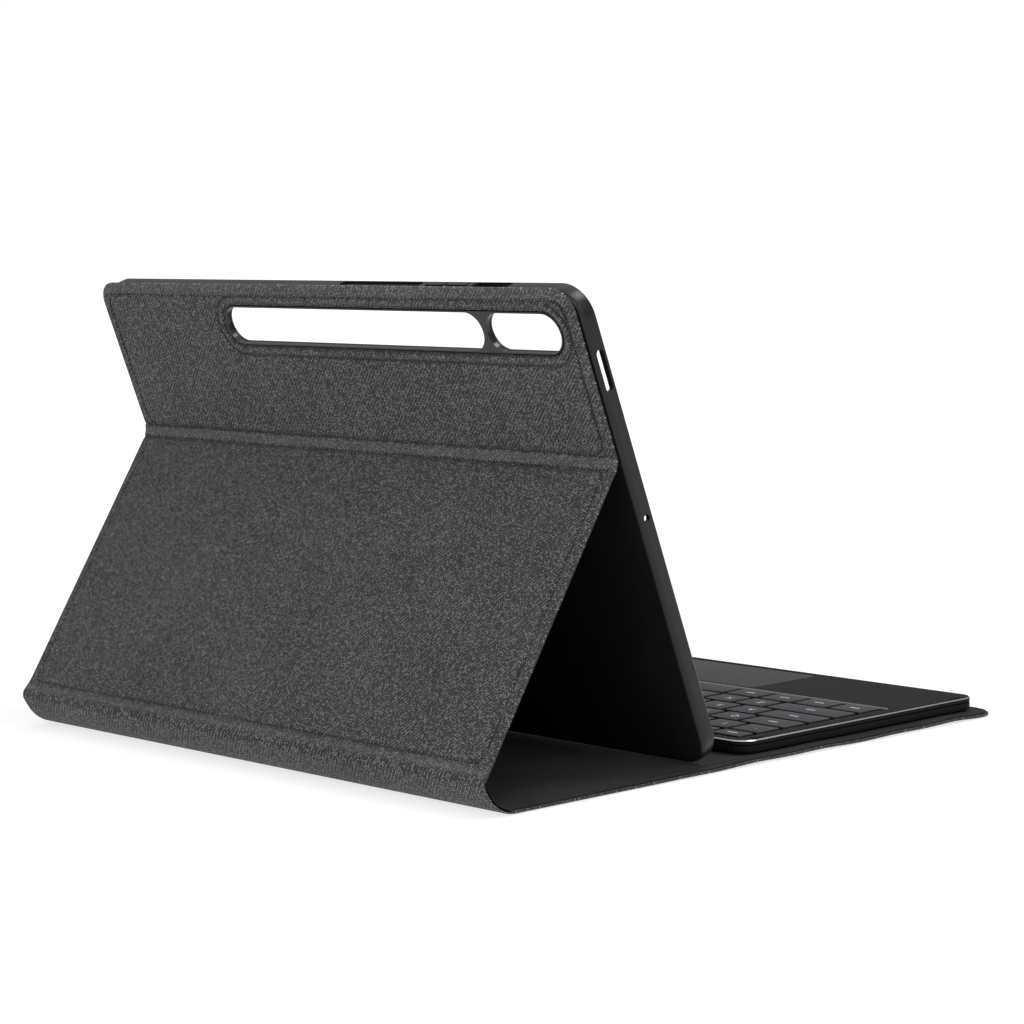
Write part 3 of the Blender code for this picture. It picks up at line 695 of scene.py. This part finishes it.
def cover_painted_light(x, s, half):
    """Painted light on the fabric: painted shade in pressed lines, the fold crease and where it rolls into the window
    (above 0), and painted highlight on the leg's lower shoulder, the top strip and the ridge round the window, with
    lighter crease tops and cut edges (below 0).
    """
    lines, raised, _, cut, window_roll, ridge = cover_marks(x, s, half)
    # Painted highlight: the band low on the leg where the curl faces up, and the top strip where the cloth turns up
    # over the tray's edge.
    shoulder = dip(s - LEG_START - 2.2 * MM, 1.6 * MM) + 0.8 * ramp(s, TOTAL - 7 * MM, TOTAL - 4 * MM)
    shaded = lines - 0.6 * shoulder + 0.8 * window_roll
    return shaded - 0.55 * raised - 0.4 * cut * (1 - window_roll) - 0.35 * ridge * (1 - lines)


def half_width(s, inset=0.0):
    """Half the folio's width, less at its rounded ends."""
    end = min(s - inset, TOTAL - s)
    radius = CORNER - inset
    if end >= radius:
        return FOLIO_HALF - inset
    return FOLIO_HALF - inset - radius + math.sqrt(max(radius**2 - (radius - max(end, 0.0)) ** 2, 0.0))


def ripple(x, s):
    """The base flap lifts a little along its free edges."""
    side = ramp(np.abs(x), FOLIO_HALF - 14 * MM, FOLIO_HALF)
    wave = 0.55 + 0.45 * np.sin(s / (23 * MM) + 0.6) * np.sin(s / (9.5 * MM) + np.sign(x) * 1.3)
    fade = ramp(s, 6 * MM, 30 * MM) * (1 - ramp(s, 150 * MM, 215 * MM))
    return 0.75 * MM * side * wave * fade


def folio_sheet(name, s_values, x_values, outer, inner, inset, material, press=None):
    """A closed sheet along the path between two heights, with the cloth's own coordinates in metres."""
    rows, columns = len(s_values), len(x_values)
    widths = np.array([half_width(s, inset) for s in s_values])
    limit = FOLIO_HALF - CORNER - 1.0 * MM
    full = x_values[-1]
    x = np.tile(x_values, (rows, 1))
    beyond = np.abs(x) > limit
    shrunk = limit + (np.abs(x) - limit) * ((widths[:, None] - limit) / (full - limit))
    x = np.where(beyond, np.sign(x) * shrunk, x)
    s = np.tile(s_values[:, None], (1, columns))
    place, normal = (np.array(part) for part in zip(*(path_point(value) for value in s_values)))
    lift = ripple(x, s)
    corners = []
    for height in (outer(x, s, widths[:, None]), inner(x, s, widths[:, None])):
        y = place[:, 0:1] + normal[:, 0:1] * height
        z = place[:, 1:2] + normal[:, 1:2] * height + lift
        corners.append(np.stack((x, y, z), axis=-1).reshape(-1, 3))
    index = np.arange(rows * columns).reshape(rows, columns)
    quads = np.stack((index[:-1, :-1], index[:-1, 1:], index[1:, 1:], index[1:, :-1]), axis=-1).reshape(-1, 4)
    rim = np.concatenate((index[0, :], index[1:, -1], index[-1, -2::-1], index[-2:0:-1, 0]))
    after = np.roll(rim, -1)
    offset = rows * columns
    walls = np.stack((rim, rim + offset, after + offset, after), axis=-1)
    faces = np.concatenate((quads, quads[:, ::-1] + offset, walls))
    mesh = bpy.data.meshes.new(name)
    mesh.from_pydata(np.concatenate(corners).tolist(), [], faces.tolist())
    cloth = np.tile(np.stack((x, s), axis=-1).reshape(-1, 2), (2, 1))
    layer = mesh.uv_layers.new(name="cloth")
    ends = np.empty(len(mesh.loops), np.int32)
    mesh.loops.foreach_get("vertex_index", ends)
    layer.data.foreach_set("uv", cloth[ends].ravel())
    if press is not None:
        values = np.concatenate((press(x, s, widths[:, None]).ravel(), np.zeros(rows * columns)))
        mesh.attributes.new("press", "FLOAT", "POINT").data.foreach_set("value", values)
    shape = bmesh.new()
    shape.from_mesh(mesh)
    bmesh.ops.recalc_face_normals(shape, faces=shape.faces)
    shape.to_mesh(mesh)
    shape.free()
    return mesh_piece(name, mesh, material, None, smooth=50.0)


def cover_outer(x, s, half):
    return HALF_STACK + cover_height(x, s, half)


def cover_inner(x, s, half):
    edge = np.minimum(half - np.abs(x), np.minimum(s, TOTAL - s))
    return CLOTH_INNER + (RIM_INNER - CLOTH_INNER) * (1 - ramp(edge, RIM_WIDTH - 1.0 * MM, RIM_WIDTH))


def lining_outer(x, s, half):
    edge = np.minimum(half - np.abs(x), s)
    return -0.6 * MM + 0.25 * MM * (1 - ramp(edge, RIM_WIDTH - 1.6 * MM, RIM_WIDTH - 0.8 * MM))


def lining_inner(x, s, half):
    edge = np.minimum(half - np.abs(x), s)
    pressed = 0.26 * MM * np.exp(-(((edge - 4.0 * MM) / (0.6 * MM)) ** 2))
    ending = 0.3 * MM * (1 - ramp(edge, -0.2 * MM, 1.0 * MM))
    return -HALF_STACK + pressed + ending


def board_outer(x, s, half):
    return np.full_like(x, 0.35 * MM)


def board_inner(x, s, half):
    return np.full_like(x, -0.25 * MM)


# Where one sheet of the folio ends and the next begins: the middle of the spine's curl, and low on the leg
SPINE_MIDDLE = BASE_END + SPINE_CURL * direction_angle(SPINE_UP)
LEG_JOIN = LEG_START + 25 * MM


def make_folio(materials):
    """The outer cover, its lining and the spine's board, each in stretches drawn along the folio's path."""
    side_marks = (-FOLIO_HALF, -FOLIO_HALF + BOARD_INSET, FOLIO_HALF - BOARD_INSET, FOLIO_HALF)
    plain_x = spaced(-FOLIO_HALF, FOLIO_HALF, side_marks, 0.4 * MM, 6 * MM, 2.2 * MM)
    spine_marks = (SPINE_MIDDLE, SPINE_END, LEG_START, LEG_BOARD[0])
    spine_s = spaced(SPINE_MIDDLE, LEG_JOIN, spine_marks, 0.45 * MM, 3 * MM, 5 * MM)
    make_cover(materials, side_marks, plain_x, spine_s)
    make_lining(materials, plain_x * ((FOLIO_HALF - LINING_INSET) / FOLIO_HALF), spine_s)
    make_spine_boards(materials)


def lay_sheet(piece, replaced):
    """Bakes a stretch of fabric's placement into its mesh, and hides the nodes it stands for."""
    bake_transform(piece)
    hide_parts(*replaced)


def make_cover(materials, side_marks, plain_x, spine_s):
    window_marks = (*WINDOW_X, WINDOW_X[0] + 7 * MM, WINDOW_X[1] - 7 * MM)
    window_x = spaced(-FOLIO_HALF, FOLIO_HALF, (*side_marks, *window_marks), 0.5 * MM, 5 * MM, 7 * MM)
    base_s = spaced(0.0, SPINE_MIDDLE, (0.0, BASE_END, SPINE_MIDDLE), 0.8 * MM, 6 * MM, 5 * MM)
    fold_start = LEG_END - 8 * MM
    leg_s = spaced(LEG_JOIN, fold_start, (LEG_END,), 0.5 * MM, 6 * MM, 4 * MM)
    upper_s = spaced(fold_start, TOTAL, (LEG_END, UPPER_START, TOTAL), 0.35 * MM, 0.7 * MM, 4.5 * MM)
    leg_and_upper_s = np.concatenate((leg_s[:-1], upper_s))
    stretches = (
        ("cover_base", base_s, plain_x, "base", "spine", ("base_cover",), "base_board"),
        ("cover_spine", spine_s, plain_x, "leg", "spine", ("spine_cover",), "leg_board"),
        ("cover_leg_and_upper", leg_and_upper_s, window_x, "tray", "leg", ("leg_cover", "upper_cover"), "leg_board"),
    )
    for name, s_values, x_values, first, second, replaced, board in stretches:
        piece = folio_sheet(name, s_values, x_values, cover_outer, cover_inner, 0.0, materials["cover"], cover_painted_light)
        if "upper_cover" in replaced:
            window = (*WINDOW_X, *WINDOW_Y)
            carve(piece, [cutter_object("window", window, (-4 * MM, 4 * MM), WINDOW_ROUND, 24, TRAY_FRAME)])
        lay_sheet(piece, replaced)


def make_lining(materials, x_values, spine_s):
    base_s = spaced(LINING_INSET, SPINE_MIDDLE, (0.0, BASE_END, SPINE_MIDDLE), 0.8 * MM, 6 * MM, 5 * MM)
    leg_s = spaced(LEG_JOIN, UPPER_START + 1.0 * MM, (LEG_END, UPPER_START), 0.5 * MM, 6 * MM, 4 * MM)
    stretches = (
        ("lining_base", base_s, "base", "spine", ("base_lining",)),
        ("lining_spine", spine_s, "leg", "spine", ("spine_lining",)),
        ("lining_leg", leg_s, "tray", "leg", ("leg_lining",)),
    )
    for name, s_values, first, second, replaced in stretches:
        piece = folio_sheet(name, s_values, x_values, lining_outer, lining_inner, LINING_INSET, materials["lining"])
        lay_sheet(piece, replaced)


def make_spine_boards(materials):
    """The spine's board, drawn in two halves that follow the curl."""
    half = FOLIO_HALF - 4.5 * MM
    halves = (
        ("spine_board_low", np.linspace(BASE_END + 3 * MM, SPINE_MIDDLE, 12), "base"),
        ("spine_board_high", np.linspace(SPINE_MIDDLE, LEG_START - 1 * MM, 16), "leg"),
    )
    for name, s_values, first in halves:
        piece = folio_sheet(
            name, s_values, np.array((-half, half)), board_outer, board_inner, 0.0, materials["board"]
        )
        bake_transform(piece)
        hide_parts("spine_board")


# ---- the tray

TRAY_FRAME = Matrix(
    (
        (1, 0, 0, 0),
        (0, TRAY_UP[0], TRAY_NORMAL[0], FOLD_HINGE[0]),
        (0, TRAY_UP[1], TRAY_NORMAL[1], FOLD_HINGE[1]),
        (0, 0, 0, 1),
    )
)


def tray_ring(inset_x, inset_y, z, steps=20):
    radius = max(TRAY_CORNER - min(inset_x, inset_y), 1.0 * MM)
    box = (-TRAY_HALF + inset_x, TRAY_HALF - inset_x, TRAY_FOOT + inset_y, TRAY_TOP - inset_y)
    return inset_ring(box, 0.0, z, radius, steps)


def arc_levels(first, last, count, inwards):
    """(inset, z) pairs of a quarter round between two corners of a wall's section."""
    levels = []
    for step in range(count + 1):
        angle = math.pi / 2 * step / count
        a, b = (math.sin(angle), 1 - math.cos(angle)) if inwards else (1 - math.cos(angle), math.sin(angle))
        levels.append((first[0] + (last[0] - first[0]) * a, first[1] + (last[1] - first[1]) * b))
    return levels


def make_tray_shell(materials):
    """Back, walls and front lip as one moulding, with its windows and slots cut through."""
    back_round, front_round = 2.0 * MM, 1.4 * MM
    lip_edge = (SIDE_WALL + LIP, END_WALL + LIP)
    rings = []
    for inset, z in arc_levels((back_round, TRAY_BACK), (0.0, TRAY_BACK + back_round), 6, True):
        rings.append(tray_ring(inset, inset, z))
    for inset, z in arc_levels((0.0, TRAY_FRONT - front_round), (front_round, TRAY_FRONT), 5, False):
        rings.append(tray_ring(inset, inset, z))
    half_lip = (TRAY_FRONT - POCKET_ROOF) / 2
    for step in range(5):
        angle = math.pi * step / 4
        out = half_lip * math.sin(angle)
        z = POCKET_ROOF + half_lip * (1 + math.cos(angle))
        rings.append(tray_ring(lip_edge[0] - half_lip + out, lip_edge[1] - half_lip + out, z))
    rings.append(tray_ring(SIDE_WALL, END_WALL, POCKET_ROOF))
    for inset, z in arc_levels((0.0, POCKET_FLOOR + 0.8 * MM), (0.8 * MM, POCKET_FLOOR), 3, False):
        rings.append(tray_ring(SIDE_WALL + inset, END_WALL + inset, z))
    shape = bmesh.new()
    loft(shape, rings)
    shell = finish_piece("tray_moulding", shape, materials["soft_shell"], None)
    carve(shell, tray_cutters())
    shell.matrix_world = TRAY_FRAME
    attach(shell, "tray")
    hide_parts("tray_shell")


def window_cutters(z_span):
    """The pen window and the camera window, one on each side of the bridge."""
    pen = (BRIDGE_X[1] - WINDOW_RIM, WINDOW_X[1], *WINDOW_Y)
    camera = (WINDOW_X[0], BRIDGE_X[0] + WINDOW_RIM, *WINDOW_Y)
    radius = WINDOW_ROUND - WINDOW_RIM
    return [
        cutter_object(f"window_{number}", grown(box, -WINDOW_RIM), z_span, radius, 24)
        for number, box in enumerate((pen, camera))
    ]


def tray_cutters():
    middle = (POCKET_FLOOR + POCKET_ROOF) / 2
    cutters = window_cutters((0.0, POCKET_FLOOR + 2 * MM))
    deep = 6 * MM
    sideways = Matrix.Rotation(math.pi / 2, 4, "Y")
    upright = Matrix.Rotation(math.pi / 2, 4, "X")
    port_y = (TRAY_TOP + TRAY_FOOT) / 2
    slots = (
        ("left_speaker", -TRAY_HALF, (27.7 * MM, 44.7 * MM), 3.8 * MM),
        ("right_speaker", TRAY_HALF, (27.7 * MM, 44.7 * MM), 3.8 * MM),
        ("microphone", -TRAY_HALF, (-26.3 * MM, -23.3 * MM), 3.0 * MM),
        ("charging", TRAY_HALF, (port_y - 7 * MM, port_y + 7 * MM), 6.0 * MM),
    )
    for name, x, (low, high), height in slots:
        box = (-height / 2, height / 2, low, high)
        place = Matrix.Translation((x, 0.0, middle)) @ sideways
        cutters.append(cutter_object(name, box, (-deep, deep), height / 2, 12, place))
    rims = (
        ("power_key", (-113.8 * MM, -92.0 * MM), 6.0 * MM, deep),
        ("volume_up", (-89.5 * MM, -77.3 * MM), 3.8 * MM, deep),
        ("volume_down", (-76.7 * MM, -64.5 * MM), 3.8 * MM, deep),
        ("recess", (-62.0 * MM, -12.0 * MM), 3.8 * MM, 0.8 * MM),
    )
    for name, (low, high), height, depth in rims:
        box = (low, high, -height / 2, height / 2)
        place = Matrix.Translation((0.0, TRAY_TOP, middle)) @ upright
        cutters.append(cutter_object(name, box, (-depth, depth), height / 2, 12, place))
    return cutters


def make_window_frame(materials):
    """The glossy surround that fills the fabric's cut-out, with soft edges round both windows."""
    gap = 0.3 * MM
    outline = grown((*WINDOW_X, *WINDOW_Y), -gap)
    shape = bmesh.new()
    rounded_block(shape, outline, (-0.85 * MM, 1.05 * MM), WINDOW_ROUND - gap, 24, 0.35 * MM, 0.1 * MM, 4)
    piece = finish_piece("window_surround", shape, materials["gloss"], None)
    carve(piece, window_cutters((-3 * MM, 3 * MM)))
    piece.matrix_world = TRAY_FRAME
    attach(piece, "tray")
    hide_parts("window_frame")


def make_volume_buttons(materials):
    """Two soft pads, standing 0.5 mm proud of the rim."""
    middle = (POCKET_FLOOR + POCKET_ROOF) / 2
    upright = Matrix.Translation((0.0, TRAY_TOP, middle)) @ Matrix.Rotation(-math.pi / 2, 4, "X")
    for name, low in (("volume_up", -89.2 * MM), ("volume_down", -76.4 * MM)):
        shape = bmesh.new()
        box = (low, low + 11.6 * MM, -1.6 * MM, 1.6 * MM)
        rounded_block(shape, box, (-2.7 * MM, 0.5 * MM), 1.58 * MM, 8, 0.1 * MM, 0.35 * MM, 4)
        finish_piece(
            name + "_pad", shape, materials["soft_shell"], name, (name + "_button",), TRAY_FRAME @ upright
        )


# ---- the keyboard


PORT_GAP = 0.3 * MM


def node_box(node):
    low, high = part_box(node)
    return low[0], high[0], low[1], high[1], low[2], high[2]


def make_keyboard_case(materials):
    *outline, low, high = node_box("keyboard_bottom_shell")
    shape = bmesh.new()
    rounded_block(shape, outline, (low, high), 8 * MM, 14, 0.9 * MM, 0.25 * MM, 5)
    shell = finish_piece("keyboard_tub", shape, materials["deck"], None)
    wall, floor = 1.2 * MM, 1.2 * MM
    cutters = [cutter_object("cavity", grown(outline, -wall), (low + floor, high + 2 * MM), 6.8 * MM, 14)]
    for number in range(1, 5):
        cutters.append(round_cutter(f"keyboard_foot_{number}", 0.3 * MM, (low - 1 * MM, low + 0.5 * MM)))
    for number in range(1, 7):
        cutters.append(round_cutter(f"shell_screw_{number}", 0.3 * MM, (low - 1 * MM, high - 1.6 * MM)))
    cutters += [port_cutter(), switch_cutter()]
    carve(shell, cutters)
    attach(shell, "keyboard")
    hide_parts("keyboard_bottom_shell")
    make_deck(materials)


def round_cutter(node, margin, z_span):
    box = node_box(node)
    return cutter_object(node + "_hole", grown(box, margin), z_span, (box[1] - box[0]) / 2 + margin, 10)


def port_cutter():
    """The charging port's hole, through the right edge."""
    sideways = Matrix.Rotation(math.pi / 2, 4, "Y")
    x0, x1, y0, y1, low, high = node_box("usb_c_port")
    height = high - low + 2 * PORT_GAP
    place = Matrix.Translation((x1, 0.0, (low + high) / 2)) @ sideways
    box = (-height / 2, height / 2, y0 - PORT_GAP, y1 + PORT_GAP)
    return cutter_object("port_hole", box, (x0 - x1 - 1 * MM, 4 * MM), height / 2, 10, place)


def switch_cutter():
    """The power switch's slot, long enough for its travel."""
    x0, x1, y0, y1, low, high = node_box("power_switch")
    box = (x0 - 1 * MM, x1 + 3 * MM, y0 - 0.6 * MM, y1 + 4.4 * MM)
    return cutter_object("switch_slot", box, (low - PORT_GAP, high + 1 * MM), 0.3 * MM, 3)


def make_deck(materials):
    """The top case, with a polished chamfer and openings for the keys, touchpad, bumpers, lamp and port."""
    *outline, low, high = node_box("keyboard_deck")
    shape = bmesh.new()
    chamfer = 0.4 * MM
    levels = ((0.25 * MM, low), (0.0, low + 0.25 * MM), (0.0, high - chamfer), (chamfer, high))
    loft(shape, [inset_ring(outline, inset, z, 8 * MM - inset, 16) for inset, z in levels])
    deck = finish_piece("keyboard_top_case", shape, materials["deck"], None, smooth=20.0)
    deck.data.materials.append(materials["chamfer"])
    well = well_box()
    margin = 0.4 * MM
    tall = (low - 2 * MM, high + 2 * MM)
    cutters = [
        cutter_object("well", well, tall, 2.5 * MM, 8),
        cutter_object("pad", grown(node_box("touchpad"), margin), tall, 3.4 * MM, 8),
    ]
    for number in range(1, 5):
        box = grown(node_box(f"rubber_bumper_{number}"), margin / 2)
        cutters.append(cutter_object(f"bumper_{number}", box, (high - 0.8 * MM, high + 2 * MM), 1.0 * MM, 8))
    cutters.append(cutter_object("lamp", grown(node_box("status_lamp_lens"), margin / 2), tall, 0.8 * MM, 8))
    cutters.append(port_cutter())
    carve(deck, cutters)
    deck.data.set_sharp_from_angle(angle=math.radians(20))
    for face in deck.data.polygons:
        centre = face.center
        face.material_index = int(high - chamfer - 0.01 * MM < centre.z < high - 0.01 * MM and face.normal.z > 0.3)
    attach(deck, "keyboard")
    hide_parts("keyboard_deck")
    make_well_trim(well, high, materials)


def well_box():
    """The opening round the keys, a margin outside the outermost caps."""
    boxes = [node_box(name) for name in KEY_ROWS]
    x0, _, y0, *_ = (min(values) for values in zip(*boxes))
    _, x1, _, y1, *_ = (max(values) for values in zip(*boxes))
    return grown((x0, x1, y0, y1), 2.8 * MM)


def make_well_trim(well, top, materials):
    """A fine polished line round the key well."""
    section = ((0.02, -0.9), (0.02, 0.02), (0.12, 0.02), (0.55, -0.6), (0.55, -0.9))
    shape = bmesh.new()
    rings = [inset_ring(well, out * MM, top + rise * MM, 2.5 * MM - out * MM, 8) for out, rise in section]
    made = loft(shape, rings, False, False)
    for index in range(len(made[0])):
        after = (index + 1) % len(made[0])
        shape.faces.new((made[-1][index], made[-1][after], made[0][after], made[0][index]))
    finish_piece("well_trim", shape, materials["chamfer"], "keyboard")


KEY_ROWS = {
    "function_keys": ["esc"] + [None] * 14,
    "number_keys": list("`1234567890-="),
    "top_letter_keys": list("QWERTYUIOP[]") + ["\\"],
    "home_letter_keys": list("ASDFGHJKL;'"),
    "bottom_letter_keys": list("ZXCVBNM,./"),
    "left_modifier_keys": [None] * 4,
    "right_modifier_keys": [None] * 5,
    "backspace_key": [None],
    "tab_key": [None],
    "caps_key": [None],
    "enter_key": [None],
    "left_shift_key": [None],
    "right_shift_key": [None],
    "space_bar": ["bar"],
}
KEY_GAP = 2.4 * MM
SHOWN_GAP = 2.2 * MM
LAST_WIDE = {"top_letter_keys": 1.5}


def key_boxes(name):
    """The caps of one key node, worked out from its box: equal widths, apart from one wide last key."""
    x0, x1, y0, y1, low, high = node_box(name)
    marks = KEY_ROWS[name]
    units = [1.0] * len(marks)
    units[-1] = LAST_WIDE.get(name, 1.0)
    pitch = (x1 - x0 + KEY_GAP) / sum(units)
    left = x0 - KEY_GAP / 2
    boxes = []
    for unit in units:
        right = left + unit * pitch
        grow = (KEY_GAP - SHOWN_GAP) / 2
        boxes.append((left + SHOWN_GAP / 2, right - SHOWN_GAP / 2, y0 - grow, y1 + grow))
        left = right
    return boxes, (low, high)


def make_keys(materials):
    for name, marks in KEY_ROWS.items():
        boxes, (low, high) = key_boxes(name)
        shape = bmesh.new()
        for box in boxes:
            key_cap(shape, box, low, high)
        caps = finish_piece(name + "_caps", shape, materials["keys"], name, (name,), smooth=28.0)
        caps.data.materials.append(materials["key_sides"])
        # The caps' sides take the darker copy: painted shade in the gaps between keys.
        for face in caps.data.polygons:
            face.material_index = int(face.normal.z < 0.4)
        make_legends(name, boxes, marks, high, materials)


def key_cap(shape, box, low, high):
    """A flat cap with round corners, tapering sides and a soft top edge."""
    levels = ((0.0, low), (0.12 * MM, high - 0.32 * MM), (0.22 * MM, high - 0.1 * MM), (0.42 * MM, high))
    loft(shape, [inset_ring(box, inset, z, 1.3 * MM - inset * 0.5, 5) for inset, z in levels])


def make_legends(name, boxes, marks, top, materials):
    """Plain letters and digits, and short dashes where a word would stand."""
    shape = bmesh.new()
    for (x0, x1, y0, y1), mark in zip(boxes, marks):
        if mark == "bar":
            continue
        if mark is None or len(mark) > 1:
            dash(shape, (x0 + x1) / 2 - 2.6 * MM, (y0 + y1) / 2 - 0.5 * MM, 5.2 * MM, top)
            continue
        letter(shape, mark, (x0 + x1) / 2 - 1.5 * MM, (y0 + y1) / 2, 5.2 * MM, top)
    if shape.faces:
        finish_piece(name + "_legends", shape, materials["legend"], name)
    else:
        shape.free()


def dash(shape, x, y, length, top):
    box = (x, x + length, y, y + 0.9 * MM)
    rounded_block(shape, box, (top - 0.05 * MM, top + 0.02 * MM), 0.2 * MM, 2, 0.01 * MM, 0.01 * MM, 1)


def letter(shape, mark, x, y, size, top):
    curve = bpy.data.curves.new("legend", "FONT")
    curve.body = mark
    curve.size = size
    curve.extrude = 0.03 * MM
    curve.resolution_u = 2
    curve.align_x, curve.align_y = "CENTER", "CENTER"
    holder = bpy.data.objects.new("legend", curve)
    bpy.context.scene.collection.objects.link(holder)
    graph = bpy.context.evaluated_depsgraph_get()
    mesh = bpy.data.meshes.new_from_object(holder.evaluated_get(graph))
    mesh.transform(Matrix.Translation((x, y, top - 0.01 * MM)))
    shape.from_mesh(mesh)
    bpy.data.meshes.remove(mesh)
    bpy.data.objects.remove(holder, do_unlink=True)


def make_small_parts(materials):
    """The touchpad, bumpers, feet, switch knob and lens, with the soft edges that mouldings have."""
    rows = [("touchpad", 3.0 * MM, "touchpad", "touchpad", "touchpad_plastic", 0.25 * MM)]
    rows += [(f"rubber_bumper_{n}", 0.78 * MM, "rubber", "keyboard", "rubber", 0.4 * MM) for n in range(1, 5)]
    rows += [(f"keyboard_foot_{n}", 5.0 * MM, "rubber", "keyboard", "rubber", 0.25 * MM) for n in range(1, 5)]
    rows += [("power_switch", 0.4 * MM, "keys", "power_switch", "key_plastic", 0.2 * MM)]
    rows += [("status_lamp_lens", 0.58 * MM, "lamp", "keyboard", "lamp", 0.15 * MM)]
    for node, radius, material, body, slot, soft in rows:
        *outline, low, high = node_box(node)
        shape = bmesh.new()
        rounded_block(shape, outline, (low, high), radius, 10, 0.05 * MM, soft, 4)
        finish_piece(node + "_moulding", shape, materials[material], body, (node,))


NODE_MATERIALS = {
    "board": ("base_board", "spine_board", "leg_board", "upper_board"),
    "rubber": ("tray_adhesive",),
    "steel": ("usb_c_port",),
    "well": ("key_plate",),
    "circuit": ("circuit_board",),
    "battery": ("battery",),
}


def dress_nodes(materials):
    """Better materials on the CAD nodes that stay."""
    dressed = {node: name for name, nodes in NODE_MATERIALS.items() for node in nodes}
    dressed.update({node: "steel" for node in frame["nodes"] if "magnet" in node or "screw" in node})
    for node, name in dressed.items():
        item = frame["nodes"][node]
        item.data.materials.clear()
        item.data.materials.append(materials[name])


MATERIALS = make_materials()
make_camera()
make_studio()
make_folio(MATERIALS)
make_tray_shell(MATERIALS)
make_window_frame(MATERIALS)
make_volume_buttons(MATERIALS)
make_keyboard_case(MATERIALS)
make_keys(MATERIALS)
make_small_parts(MATERIALS)
dress_nodes(MATERIALS)
